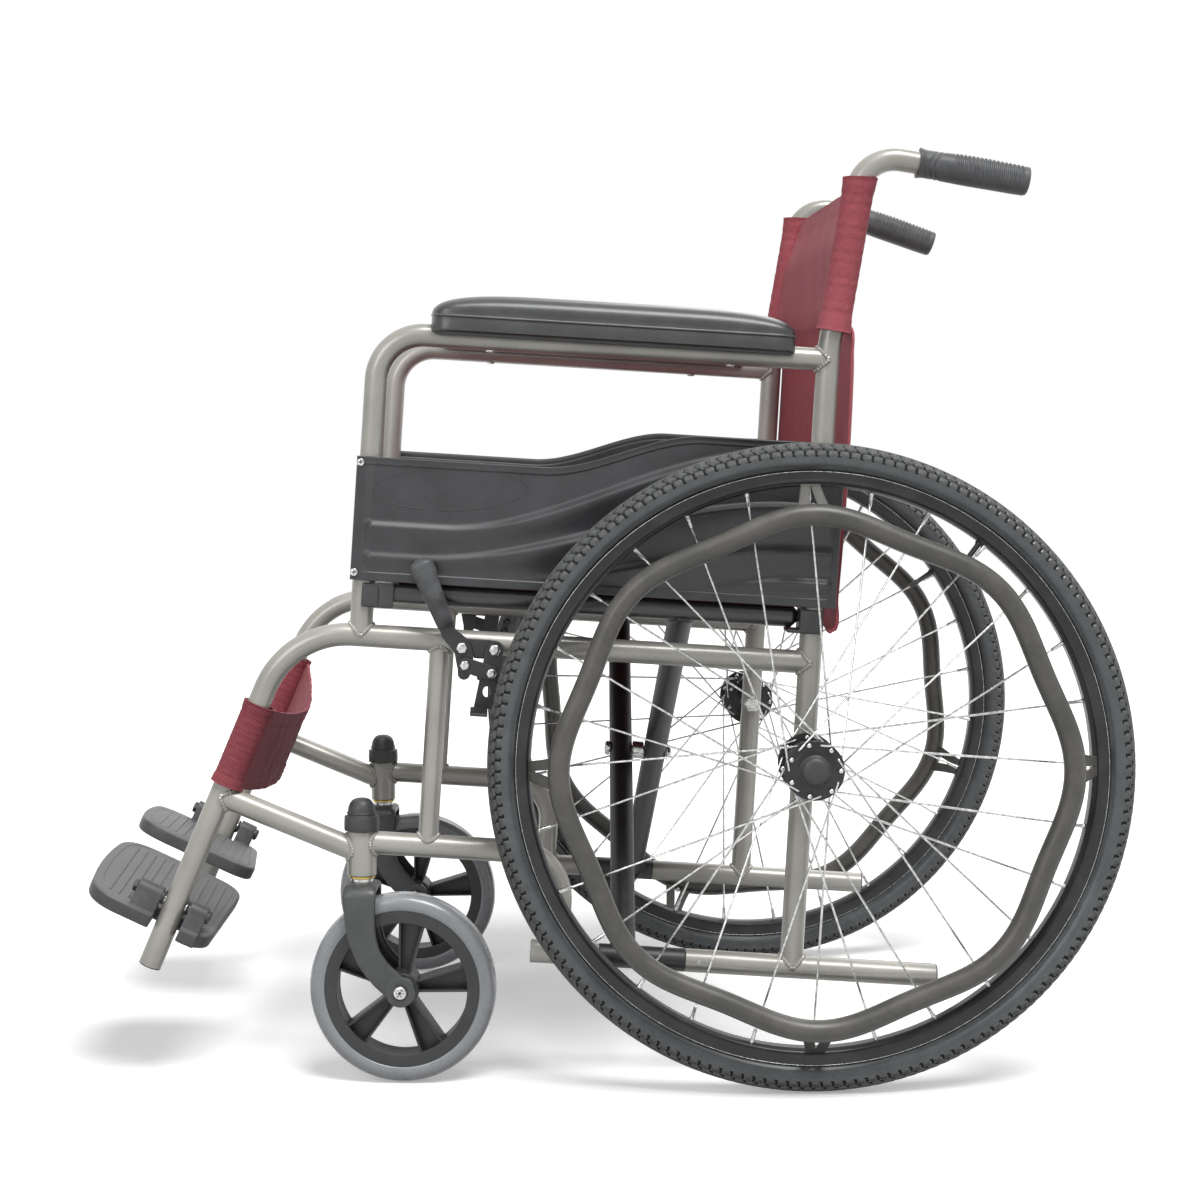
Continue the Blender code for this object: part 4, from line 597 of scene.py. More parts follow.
for side, sign in sides.items():
    x, body = sign * frame_x, f"{side}_frame"
    rail, post = along_rails, up_rails
    cane, _, _ = cane_path(x)
    beads = [weld(place(0, bottom_rail_b, x), post, rail)]
    piece(
        f"cane_{side}", [skin(swept(cane, tube_r, 40)), *beads], body, champagne, "champagne_paint",
        [f"rear_cane_{side}"],
    )

    arm = [(armrest_a, seat_rail_b + 0.004), (armrest_a, armrest_rail_b), (-0.004, armrest_rail_b)]
    arm = bent([place(a, b, x) for a, b in arm], [0.045])
    beads = [
        weld(place(armrest_a, seat_rail_b, x), post, rail),
        weld(place(0, armrest_rail_b, x), -rail, post),
    ]
    piece(
        f"armrest_rail_{side}", [skin(swept(arm, tube_r, 40)), *beads], body, champagne, "champagne_paint",
        [f"armrest_tube_{side}"],
    )

    hanger = bent(
        [place(-0.004, seat_rail_b, x), hanger_corner + x_axis * x, hanger_foot + x_axis * x], [0.085]
    )
    beads = [weld(place(0, seat_rail_b, x), -rail, post)]
    rim_r = tube_r - 0.0002
    plug = [(-0.010, 0.0080), (0.0006, 0.0080), (0.0006, rim_r), (-0.0002, rim_r), (-0.0002, 0.0092)]
    beads.append(spun([*plug, (-0.010, 0.0092)], hanger[-1], -up_hanger, 40, 0.0002, 1, loop=True))
    skins = [open_tube(hanger, tube_r), *beads]
    piece(f"hanger_{side}", skins, body, [champagne, soot], "champagne_paint", [f"seat_rail_{side}"])

    profile = [
        (base_front_a, tube_r - 0.0025),
        (base_front_a, tube_r),
        (sleeve_front_a - 0.0003, tube_r),
        (sleeve_front_a - 0.0003, spindle_r),
        (sleeve_rear_a + 0.0003, spindle_r),
        (sleeve_rear_a + 0.0003, tube_r),
        (base_rear_a, tube_r),
        (base_rear_a, tube_r - 0.0025),
    ]
    cap = [(-0.0005, -0.0028), (-0.0005, -0.0006), (0.0002, -0.0002), (0.0010, -0.0004), (0.0014, -0.0040)]
    cap = [(base_rear_a + d, tube_r + r) for d, r in cap] + [(base_rear_a + 0.0006, 0.0020)]
    rivet = [(0, 0.0026), (0.0008, 0.0024), (0.0012, 0.0010)]
    foot, out = place(0, bottom_rail_b, x), x_axis * sign
    skins = [
        spun(profile, foot, rail),
        spun(cap, foot, rail, 40, 0.0002, 1),
        spun(rivet, place(-0.0895, bottom_rail_b, x) + out * (tube_r - 0.0003), out, 20, 0.0003, 2),
    ]
    piece(
        f"base_rail_{side}", skins, body, [champagne, soot, rivet_steel], "champagne_paint",
        [f"bottom_rail_{side}"],
    )

    foot = np.array([x, axle_y + barrel_y, 0.0])
    lower_a, lower_b = at_barrel(barrel_top - 0.0114)
    strut_a, strut_b = at_barrel(barrel_top - 0.0219)
    lower = [(lower_a + 0.008, lower_b), (drop_a, lower_b), (drop_a, bottom_rail_b + 0.004)]
    lower = bent([place(a, b, x) for a, b in lower], [0.045])
    top, end = on_hanger(strut_on_hanger, x), place(strut_a, strut_b, x)
    strut = np.linspace(top + unit(end - top) * 0.004, end, 3)
    front_post = place(front_post_a, np.linspace(lower_b + 0.004, seat_rail_b - 0.004, 3), x)
    barrel = [(barrel_foot, 0.0103), (barrel_foot, barrel_r), (barrel_top, barrel_r), (barrel_top, 0.0103)]
    tubes = ((lower, tube_r), (strut, tube_r), (front_post, front_post_r))
    skins = [
        spun(barrel, foot, z_axis, 48, 0.0008, loop=True),
        *(skin(swept(line, r, 40)) for line, r in tubes),
        weld(place(lower_a, lower_b, x), rail, z_axis, tube_r, barrel_r),
        weld(place(strut_a, strut_b, x), top - end, z_axis, tube_r, barrel_r),
        weld(top, end - top, up_hanger),
        weld(place(drop_a, bottom_rail_b, x), post, rail),
        weld(place(front_post_a, lower_b, x), post, rail, front_post_r),
        weld(place(front_post_a, seat_rail_b, x), -post, rail, front_post_r),
    ]
    piece(f"caster_frame_{side}", skins, body, champagne, "champagne_paint", [f"front_frame_{side}"])

# Push grips
# Moulded rubber sleeves pushed onto the handles: a flared collar, wavy finger grooves, fine ribs on the
# upper part, and a smooth palm swelling towards the square-cut end.
grip_start, grip_end, grip_r = 0.0536, 0.1610, 0.0142

# Matt rubber with a fine grain, and dust that has settled in patches.
soft_rubber = mottled(
    paint(80, 81, 83), paint(100, 101, 102), gloss=(0.18, 0.38), spots=(60, 4.0, 0.65),
    fade=(0.35, 0.75), grain=(900, 3.0, 0.7), bump=(0.0002, 0.5),
)
grip_rubber = finish("grip_rubber", soft_rubber, Specular_IOR_Level=0.4)

for side, sign in sides.items():
    _, corner, heading = cane_path(sign * frame_x)
    s = np.linspace(0, grip_end - grip_start, 330)
    t = np.linspace(0, math.tau, 64, endpoint=False)
    along, round_ = s[:, None], t[None, :]
    share = along / s[-1]
    upper = 1 / (1 + np.exp(-7 * (np.cos(round_) + 0.12)))
    r = grip_r - 0.0006 + 0.0012 * np.exp(-((along / 0.004) ** 2)) + 0.0011 * np.sin(math.pi * share) ** 2
    palm = np.clip((share - 0.45) / 0.4, 0, 1) ** 2 * np.clip((1.0 - share) / 0.03, 0, 1)
    r = r + 0.0011 * (1 - upper) * palm
    ribbed = upper * np.clip((share - 0.30) / 0.04, 0, 1) * np.clip((0.955 - share) / 0.03, 0, 1)
    r = r + 0.00055 * ribbed * np.clip(1.6 * np.cos(math.tau * along / 0.0040), -1, 1)
    for shift in (0.0, 0.0052):
        wave = 0.0175 + shift + 0.0075 * np.cos(round_ + 0.4 * math.pi)
        r = r - 0.0009 * np.exp(-(((along - wave) / 0.0011) ** 2))
    edge = np.clip((s[-1] - along) / 0.0012, 0, 1)
    r = r - 0.0012 * (1 - np.sqrt(1 - (1 - edge) ** 2))
    path = corner + heading * (grip_start + along)
    bore = np.full((1, 64), tube_r + 0.0004)
    rings = np.concatenate([bore, r, np.full((1, 64), 0.004)])
    path = np.concatenate([path[:1] + heading * 0.0002, path, path[-1:] - heading * 0.0004])
    up = unit(np.cross(x_axis, heading))
    even = corner + heading * np.linspace(0, 1, len(path))[:, None]
    grid = swept(even, rings, 64, up) + (path - even)[:, None]
    piece(f"grip_{side}", [skin(grid)], f"{side}_frame", grip_rubber, "grip_rubber", [f"push_grip_{side}"])

# Scissor
# Two braces in 24 mm tube cross under the seat. Each is welded to a sleeve that swings on one bottom rail
# and to the seat tube over the other rail, in black enamel; a bolt with a spacer joins them in the middle.
seat_tube_b, seat_tube_r, brace_r = 0.137, 0.0110, 0.0120
seat_tube_front_a, seat_tube_rear_a, seat_tube_taper = -0.412, -0.0145, 0.006
brace_a_a, brace_b_a = -0.126, -0.162


def grained_plastic(dark, light):
    """Moulded plastic with a spark-eroded grain; its two tones are given."""

    def surface(wire):
        grain = noise(wire, 1500, 2.0)
        haze = noise(wire, 25, 4.0, roughness=0.6)
        return {
            "Base Color": haze.step(0.3, 0.75).mix(dark, light),
            "Roughness": haze * 0.14 + grain * 0.10 + 0.34,
            "Normal": (grain * 0.7 + haze * 0.3).bump(0.00012, 0.6),
        }

    return surface


# Enamel with a slight orange peel, rubbed a little greyer in places, and bright zinc with small dull clouds.
enamel = mottled(
    paint(30, 30, 32), paint(46, 47, 49), gloss=(0.16, 0.40), spots=(40, 5.0, 0.7),
    fade=(0.45, 0.8), grain=(420, 2.0, 1), bump=(0.00008, 0.6),
)
plated = mottled(
    paint(160, 161, 162), paint(208, 208, 205), gloss=(0.22, 0.16), spots=(260, 4.0, 0.65),
    fade=(0.35, 0.7), grain=(1800, 2.0, 1), bump=(0.00003, 0.5),
)
glossy = mottled(paint(36, 36, 38), paint(44, 44, 46), (0.2, 0.26))
gloss_black = finish("black_gloss_enamel", glossy, Coat_Weight=0.3, Coat_Roughness=0.15)
black_paint = finish("black_satin_enamel", enamel, Coat_Weight=0.08, Coat_Roughness=0.25)
zinc = finish("zinc_plate", plated, Metallic=1.0)
black_plastic = finish("black_moulded_plastic", grained_plastic(paint(48, 49, 50), paint(66, 67, 68)))


def turned_bolt(origin, axis, profile, flats=0, easing=0.0004, around=32):
    """A bolt, nut or washer stack turned about its axis from (distance, radius); flats=6 makes a hexagon."""
    return skin(turned(eased(profile, easing, 3), origin, axis, flats or around))


def head(origin, axis, radius, height, flats=0, dome=0.3):
    """A bolt head or nut that stands on a face: a chamfered rim and a slightly domed top."""
    top = [
        (height * (1 - dome), radius), (height * (1 - 0.3 * dome), radius * 0.86), (height, radius * 0.55)
    ]
    return turned_bolt(origin, axis, [(0, radius * 0.98), (0.0002, radius), *top, (height, 0.0004)], flats)


for name, sign, a, body in (("a", -1, brace_a_a, "brace_a"), ("b", 1, brace_b_a, "brace_b")):
    low_x, high_x = sign * frame_x, -sign * frame_x
    low, high = place(a, bottom_rail_b, low_x), place(a, seat_tube_b, high_x)
    rise = unit(high - low)
    brace = np.linspace(low + rise * 0.009, high - rise * 0.004, 4)
    long, bore = sleeve_rear_a - sleeve_front_a, spindle_r + 0.0003
    hinge = [(0, bore), (0, tube_r), (long, tube_r), (long, bore)]
    reach = seat_tube_rear_a - seat_tube_front_a
    narrow = seat_tube_r - seat_tube_taper
    seat_tube = [(0, narrow - 0.0008), (0, narrow), (seat_tube_taper, seat_tube_r)]
    seat_tube += [(reach - seat_tube_taper, seat_tube_r), (reach, narrow), (reach, narrow - 0.0008)]
    plug = [(-0.0018, 0.0010), (-0.0018, 0.0040), (-0.0006, 0.0054), (0.0030, 0.0054)]
    front = place(seat_tube_front_a, seat_tube_b, high_x)
    rear = place(seat_tube_rear_a, seat_tube_b, high_x)
    skins = [
        skin(swept(brace, brace_r, 40, along_rails)),
        spun(hinge, place(sleeve_front_a, bottom_rail_b, low_x), along_rails, 40, 0.0008, loop=True),
        spun(seat_tube, front, along_rails, 40, 0.0008, 2),
        weld(low, rise, along_rails, brace_r, tube_r),
        weld(high, -rise, along_rails, brace_r, seat_tube_r),
        spun(plug, front, along_rails, 32, finish=1),
        spun(plug, rear, -along_rails, 32, finish=1),
    ]
    piece(
        f"brace_tube_{name}", skins, body, [black_paint, black_plastic, gloss_black], "black_paint",
        [f"cross_brace_{name}"],
    )

middle = (bottom_rail_b + seat_tube_b) / 2
front_a, rear_a = brace_b_a - brace_r, brace_a_a + brace_r
spacer_front, spacer_rear = brace_b_a + brace_r + 0.0003, brace_a_a - brace_r - 0.0003
long = spacer_rear - spacer_front
spacer = [(0, 0.0045), (0, 0.0090), (long, 0.0090), (long, 0.0045)]
washer = [(0, 0.0005), (0, 0.0088), (0.0011, 0.0088), (0.0011, 0.0005)]
skins = [
    skin(turned([(0, 0.0040), (rear_a - front_a, 0.0040)], place(front_a, middle), along_rails, 20)),
    spun(spacer, place(spacer_front, middle), along_rails, 32),
    head(place(front_a - 0.0003, middle), -along_rails, 0.0075, 0.005, dome=0.5),
    head(place(rear_a + 0.0003, middle), along_rails, 0.0075, 0.005, flats=6),
    turned_bolt(place(rear_a + 0.0003, middle), along_rails, washer, easing=0.0002),
]
piece("scissor_bolt", skins, "brace_a", zinc, "zinc", ["centre_bolt"])

# Seat guides
# Black clips moulded onto the armrest post and the rear post. The seat tube drops into their shelf when
# the chair is open, so each is a block with a round bore for the post and a ledge under the tube.
guide_foot, guide_top, guide_half = 0.1215, 0.1445, 0.0145
ledge_top, cheek_top = seat_tube_b - seat_tube_r - 0.0010, seat_tube_b + 0.0085


def block(start, end, top, x, bevel=0.0016, inner=-guide_half, foot=guide_foot, rounding=0.0025):
    """A rounded block along the rails between two a, from its foot to its top, out from the post by inner."""
    out = math.copysign(1, x)
    corners = [(inner, foot), (guide_half, foot), (guide_half, top), (inner, top)]
    outline = eased([place(0, b, x + w * out) - place(0, 0) for w, b in corners], rounding, 6, loop=True)
    return skin(plate(outline, place(start, 0), place(end, 0), bevel))


for side, sign in sides.items():
    x = sign * frame_x
    front, rear = armrest_a + 0.0032, armrest_a + tube_r + 0.0062
    skins = [
        block(front - 0.004, rear, guide_top, x),
        block(rear - 0.004, rear + 0.012, ledge_top, x),
        block(
            rear - 0.003, rear + 0.0125, cheek_top, x, 0.0008, seat_tube_r + 0.0004, ledge_top - 0.003,
            0.0010,
        ),
    ]
    piece(
        f"front_guide_{side}", skins, f"{side}_frame", black_plastic, "black_plastic",
        [f"seat_guide_front_{side}"],
    )
    front, rear = -tube_r - 0.0025, 0.0080
    out = x_axis * sign
    dot = [(-0.001, 0.0030), (0.0006, 0.0030), (0.0006, 0.0018), (0.0002, 0.0012)]
    skins = [
        block(front, rear, guide_top, x),
        block(front - 0.012, front + 0.004, ledge_top, x),
        spun(dot, place(-0.004, 0.134, x) + out * guide_half, out, 24, 0.0003),
    ]
    piece(
        f"rear_guide_{side}", skins, f"{side}_frame", black_plastic, "black_plastic",
        [f"seat_guide_rear_{side}"],
    )

# Rear wheels
# A 24 inch tyre on a black alloy rim, 28 plated spokes crossed three times, and a black hub on a bolt
# through the rear post. The coated push rim waves in and out and is held by four slotted tabs.
wheel_x, tyre_half, rim_inner_r, spoke_count = 0.2825, 0.0175, 0.264, 28
hub_half, flange_x, flange_t, flange_r, spoke_circle = 0.030, 0.027, 0.003, 0.0282, 0.0242
pushrim_x, pushrim_r, pushrim_wave, pushrim_waves, pushrim_tube = 0.0415, 0.2338, 0.0052, 8, 0.0102
wheel_turns = {"left": 0.0, "right": math.radians(-19)}


def tyre_rubber_surface(wire):
    """Dusty grey rubber: fine moulding grain, and paler dust where the surface is rough."""
    dust = noise(wire, 45, 5.0, roughness=0.7)
    grain = noise(wire, 1100, 2.0)
    return {
        "Base Color": (dust * 0.7 + grain * 0.3).step(0.34, 0.66).mix(paint(64, 67, 69), paint(86, 90, 92)),
        "Roughness": dust * 0.16 + 0.30,
        "Normal": (grain * 0.5 + dust * 0.5).bump(0.00018, 0.6),
    }


def black_alloy_surface(wire):
    """Black anodised alloy with fine turning lines that run round with the rim."""
    lines = noise(wire, 1.0, 3.0, "UV", (8, 3500, 1))
    cloud = noise(wire, 30, 4.0)
    return {
        "Base Color": cloud.step(0.35, 0.75).mix(paint(34, 34, 36), paint(50, 50, 52)),
        "Roughness": lines * 0.16 + cloud * 0.10 + 0.24,
        "Normal": lines.bump(0.00004, 0.4),
    }


# The push rim's coating is smooth, with faint drips and finger marks.
coating = mottled(
    paint(70, 69, 65), paint(92, 90, 85), gloss=(0.20, 0.32), spots=(22, 5.0, 0.7),
    fade=(0.35, 0.7), grain=(240, 3.0, 0.6), bump=(0.0002, 0.4),
)
grooves = mottled(paint(34, 35, 36), paint(50, 51, 51), (0.2, 0.7))
block_tops = mottled(paint(86, 87, 85), paint(112, 113, 110), (0.2, 0.55))
tyre_rubber = finish("tyre_rubber", tyre_rubber_surface, Coat_Weight=0.3, Coat_Roughness=0.28)
groove_rubber = finish("groove_rubber", grooves, Specular_IOR_Level=0.15)
block_rubber = finish("block_rubber", block_tops, Specular_IOR_Level=0.3)
black_alloy = finish(
    "black_alloy", black_alloy_surface, Metallic=0.55, Coat_Weight=0.2, Coat_Roughness=0.15
)
taupe_vinyl = finish("taupe_vinyl", coating, Coat_Weight=0.15, Coat_Roughness=0.3)


def on_wheel(sign, out, radius, turn):
    """Points of a rear wheel: out from its plane, at a radius, and round by an angle from the back."""
    out, radius, turn = (np.asarray(v, float) for v in np.broadcast_arrays(out, radius, turn))
    y, z = axle_y + radius * np.cos(turn), wheel_r + radius * np.sin(turn)
    return np.stack([sign * (wheel_x + out), y, z], axis=-1)


def smooth(value, start, end):
    """0 before start, 1 after end, and 3 t^2 - 2 t^3 between."""
    t = np.clip((value - start) / (end - start), 0, 1)
    return t * t * (3 - 2 * t)


def tyre_surface(sign):
    """The casing's section carried round the wheel, with the tread pushed out along it.

    Section: x = w sin f, r = 0.2905 + 0.0131 cos f over the tread, and a narrower foot below. The tread has
    174 blocks a row: a shoulder row, a slanted row beside it and a zigzag rib in the middle. Also returns
    1 for the faces in a groove, 2 for those on a block and 0 for the rest.
    """
    blocks = 174
    f = np.linspace(-2.49, 2.49, 58)
    f = np.sign(f) * (np.abs(f) - 0.10 * np.sin(2 * np.abs(f)))
    below = np.maximum(np.abs(f) - math.pi / 2, 0)
    x = tyre_half * 0.985 * np.where(below > 0, np.sign(f) * np.cos(below), np.sin(f))
    r = 0.2905 + np.where(below > 0, -0.0112 * np.sin(below) / math.sin(0.92), 0.0131 * np.cos(f))
    turn = np.linspace(0, math.tau, blocks * 9, endpoint=False)[:, None]
    pitch = turn * blocks / math.tau
    w = np.abs(f)[None, :]

    def ridge(phase, gap):
        """1 on a block and 0 in the groove beside it, along the tread."""
        near = np.abs((pitch + phase) % 1 - 0.5)
        return smooth(near, 0.5, 0.5 - gap)

    shoulder = ridge(0.18 * (w - 1.1) * np.sign(f), 0.24) * smooth(w, 0.93, 0.99) * smooth(w, 1.44, 1.38)
    slanted = ridge(0.5 + 1.1 * (w - 0.6), 0.22) * smooth(w, 0.39, 0.46) * smooth(w, 0.90, 0.84)
    zigzag = smooth(w, 0.34 + 0.05 * np.cos(math.tau * pitch), 0.27 + 0.05 * np.cos(math.tau * pitch))
    rib = 0.16 * np.exp(-(((w - 2.15) / 0.05) ** 2)) + 0.12 * np.exp(-(((w - 1.52) / 0.03) ** 2))
    blocks_up = np.maximum.reduce([shoulder, slanted, zigzag])
    lift = 0.0019 * blocks_up * np.where(w > 0.92, 0.85, 1) + 0.0010 * rib
    around = sum(np.roll(blocks_up, (-i, -j), (0, 1)) for i in (0, 1) for j in (0, 1)) / 4
    kind = np.where(around > 0.75, 2, np.where((around < 0.42) & (w < 1.40), 1, 0))
    nx, nr = np.sin(np.clip(f, -math.pi / 2, math.pi / 2)), np.maximum(np.cos(f), 0)
    return on_wheel(sign, x + lift * nx, r + lift * nr + 0 * turn, turn), kind.ravel()


def wheel_ring(sign, profile, easing, finish=0):
    """A closed section (out, radius) with eased corners, carried round the wheel."""
    section = eased(profile, easing, loop=True)
    turn = np.linspace(0, math.tau, 180, endpoint=False)[:, None]
    return skin(on_wheel(sign, section[:, 0], section[:, 1], turn), loop=True, finish=finish)


def mirrored(half):
    """A closed section (out, radius) made of its half on one side and the same half mirrored."""
    return half + [(-out, radius) for out, radius in reversed(half)]


def round_axle(turn):
    """The directions out from a wheel's axle and on round it, at this angle from the back."""
    return np.array([0, math.cos(turn), math.sin(turn)]), np.array([0, -math.sin(turn), math.cos(turn)])


def spokes(sign, start):
    """Plated spokes, each bent through the flange at its head, then straight to its nipple in the rim."""
    skins = []
    for k in range(spoke_count):
        flange, lean = 1 - 2 * (k % 2), 1 - 2 * (k // 2 % 2)
        rim_turn = start + math.tau * k / spoke_count
        hub_turn = rim_turn + math.tau * lean * 6 / spoke_count
        face = flange * (flange_x + lean * 0.0016)
        back = flange * (flange_x - lean * 0.0030)
        root = on_wheel(sign, face, spoke_circle, hub_turn)
        tip = on_wheel(sign, flange * (0.0035 + lean * 0.0015), rim_inner_r + 0.001, rim_turn)
        bow = bent([on_wheel(sign, back, spoke_circle, hub_turn), root, tip], [0.0016], math.radians(18))
        normal = unit(np.cross(root - bow[0], tip - root))
        skins.append(skin(swept(bow, 0.00105, 8, normal)))
        on = unit(tip - root)
        nut = [(-0.0140, 0.0011), (-0.0132, 0.0017), (-0.0040, 0.0019), (-0.0030, 0.0023), (0.0, 0.0023)]
        skins.append(skin(turned(nut, tip, on, 10)))
        button = [(0, 0.0020), (0.0006, 0.0021), (0.0012, 0.0014), (0.0014, 0.0006)]
        skins.append(skin(turned(button, bow[0], unit(bow[0] - bow[1]), 12)))
    return skins


def tab(sign, turn):
    """A slotted tab: two legs that spread from a foot under the rim out to the push rim."""
    level, tangent = round_axle(turn)
    centre = np.array([sign * wheel_x, axle_y, wheel_r])
    out, radius = [0.0085, 0.0128, 0.0240, 0.0350], [0.2668, 0.2650, 0.2545, 0.2440]
    apart, half = [0.0044, 0.0046, 0.0070, 0.0100], [0.0048, 0.0048, 0.0050, 0.0055]
    fine = np.linspace(0, 3, 13)
    out, radius, apart, half = (np.interp(fine, range(4), v) for v in (out, radius, apart, half))
    skins = []
    for leg in (-1, 1):
        path = centre + x_axis * sign * out[:, None] + level * radius[:, None]
        path = path + tangent * (leg * apart)[:, None]
        ahead = unit(np.gradient(path, axis=0))
        thick = unit(np.cross(ahead, tangent)) * 0.00135
        section = eased([(-1, -1), (1, -1), (1, 1), (-1, 1)], 0.25, 3, loop=True)
        wide = tangent * half[:, None]
        skins.append(skin(path[:, None] + wide[:, None] * section[:, :1] + thick[:, None] * section[:, 1:]))
    return skins


for side, sign in sides.items():
    body, start = f"wheel_{side}", wheel_turns[side]
    casing, kind = tyre_surface(sign)
    skins = [skin(casing, loop=True, finish=kind)]
    rubbers = [tyre_rubber, groove_rubber, block_rubber]
    piece(f"tread_tyre_{side}", skins, body, rubbers, "tyre_rubber", [f"tyre_{side}"], sharp=60)

    wall = [(0.0058, rim_inner_r), (0.0108, 0.2662), (0.0122, 0.2690), (0.0122, 0.2782)]
    wall += [(0.0116, 0.2790), (0.0096, 0.2790), (0.0090, 0.2740)]
    bright = [(0.0120, 0.2782), (0.01245, 0.2784), (0.01245, 0.2788), (0.0120, 0.2790)]
    fold = [(0.0120, 0.2704), (0.01235, 0.2707), (0.0120, 0.2711)]
    skins = [wheel_ring(sign, mirrored(wall), 0.0008)]
    for e in (1, -1):
        skins.append(wheel_ring(sign, [(e * x, r) for x, r in fold], 0.0002))
        skins.append(wheel_ring(sign, [(e * x, r) for x, r in bright], 0.0002, 1))
    valve_turn = start + math.radians(52.5)
    valve = [(0.0, 0.0040), (0.003, 0.0036), (0.004, 0.0027), (0.020, 0.0025)]
    valve += [(0.021, 0.0031), (0.030, 0.0031), (0.031, 0.0026), (0.0315, 0.001)]
    well = on_wheel(sign, 0, rim_inner_r + 0.001, valve_turn)
    skins.append(spun(valve, well, -round_axle(valve_turn)[0], 20, 0.0003, 2))
    piece(
        f"alloy_rim_{side}", skins, body, [black_alloy, zinc, black_plastic], "black_alloy", [f"rim_{side}"]
    )

    piece(f"spokes_{side}", spokes(sign, start), body, zinc, "zinc", [f"hub_and_spokes_{side}"])
    f, t = flange_x, flange_t / 2
    half = [(hub_half - 0.0002, 0.0125), (f + t, 0.0150), (f + t, 0.0195), (f + t - 0.0005, 0.0205)]
    half += [(f + t - 0.0005, flange_r - 0.0010), (f + t - 0.001, flange_r), (f - t, flange_r)]
    half += [(f - t, 0.0205), (f - 3 * t, 0.0170), (0.012, 0.0150)]
    shell = mirrored(half) + [(-hub_half, 0.0063), (hub_half, 0.0063)]
    skins = [spun(shell, [sign * wheel_x, axle_y, wheel_r], x_axis * sign, 64, 0.0008, loop=True)]
    piece(f"hub_{side}", skins, body, black_alloy, "black_alloy")

    turn = np.linspace(0, math.tau, 384, endpoint=False)
    radius = pushrim_r + pushrim_wave * np.cos(pushrim_waves * turn)
    line = on_wheel(sign, pushrim_x, radius, turn + start)
    spin = np.linspace(0, math.tau, 28, endpoint=False)
    seam = pushrim_tube * (1 - 0.02 * np.exp(-(((spin - math.pi) / 0.12) ** 2)))
    skins = [skin(swept(line, seam[None], 28, loop=True), loop=True)]
    turns = [start + math.tau * k / 4 for k in range(4)]
    skins += [s for turn in turns for s in tab(sign, turn)]
    piece(f"push_rim_{side}", skins, body, taupe_vinyl, "taupe_vinyl", [f"handrim_{side}"])
    skins = []
    for turn in turns:
        spot = on_wheel(sign, 0.0330, 0.2462, turn)
        out = unit(on_wheel(sign, 0.0, 0.28, turn) - on_wheel(sign, 0.029, 0.2530, turn))
        skins.append(head(spot, out, 0.0030, 0.0026))
    piece(f"push_rim_screws_{side}", skins, body, zinc, "zinc")

    out, centre = x_axis * sign, np.array([0, axle_y, wheel_r])
    inside, outside = frame_x - tube_r - 0.0003, frame_x + tube_r + 0.0003
    near, far = wheel_x - hub_half - 0.0003, wheel_x + hub_half + 0.0003
    end = far + 0.0045
    skins = [
        skin(turned([(inside - 0.001, 0.0060), (end + 0.0001, 0.0060)], centre, out, 24)),
        head(centre + out * inside, -out, 0.0100, 0.005, flats=6),
        turned_bolt(centre, out, [(outside, 0.0062), (outside, 0.0105), (near, 0.0105), (near, 0.0062)]),
        turned_bolt(centre, out, [(far, 0.0062), (far, 0.0090), (end, 0.0090), (end, 0.0062)], flats=6),
    ]
    piece(f"axle_bolt_{side}", skins, f"{side}_frame", zinc, "zinc", [f"rear_axle_{side}"])
    rise, skirt = 0.0081, 0.0150
    dome = [(0, 0.0108), (0, skirt), (0.0014, skirt), (0.0020, skirt - 0.0010), (0.0032, skirt - 0.0012)]
    dome.append((0.0040, skirt - 0.0020))
    for u in np.linspace(0.15, 1.45, 9):
        dome.append((0.0040 + (rise - 0.0040) * math.sin(u), (skirt - 0.0022) * math.cos(u) ** 0.8))
    skins = [spun(dome, centre + out * far, out, 56, 0.0003)]
    piece(f"dust_cap_{side}", skins, body, black_plastic, "black_plastic", [f"hub_cap_{side}"])

# Casters
# A moulded fork on a plain stem that turns in the barrel, and a 180 mm wheel: a five-spoke moulded centre
# with a solid grey tyre cast round it. A domed cap closes the top of the barrel.
caster_turn, trail, caster_r = math.radians(-4), 0.039, 0.090
fork_top, leg_x = 0.190, 0.0250


def flowing(knots, count):
    """A smooth line through knots: on each span, the Catmull-Rom cubic of its four nearest knots."""
    k = np.asarray(knots, float)
    k = np.concatenate([2 * k[:1] - k[1:2], k, 2 * k[-1:] - k[-2:-1]])
    s = np.linspace(0, len(k) - 3, count)
    i = np.minimum(s.astype(int), len(k) - 4)
    t = (s - i)[:, None]
    a, b, c, d = (k[i + n] for n in range(4))
    return 0.5 * (2 * b + (c - a) * t + (2 * a - 5 * b + 4 * c - d) * t**2 + (3 * b - a - 3 * c + d) * t**3)


def swivelled(parts, sign):
    """Skins made with the swivel axis on Z, turned with the caster and set under their barrel."""
    c, s = math.cos(caster_turn), math.sin(caster_turn)
    spin = np.array([[c, -s, 0], [s, c, 0], [0, 0, 1]])
    spot = np.array([sign * frame_x, axle_y + barrel_y, 0])
    return [(flat @ spin.T + spot, *rest) for flat, *rest in parts]


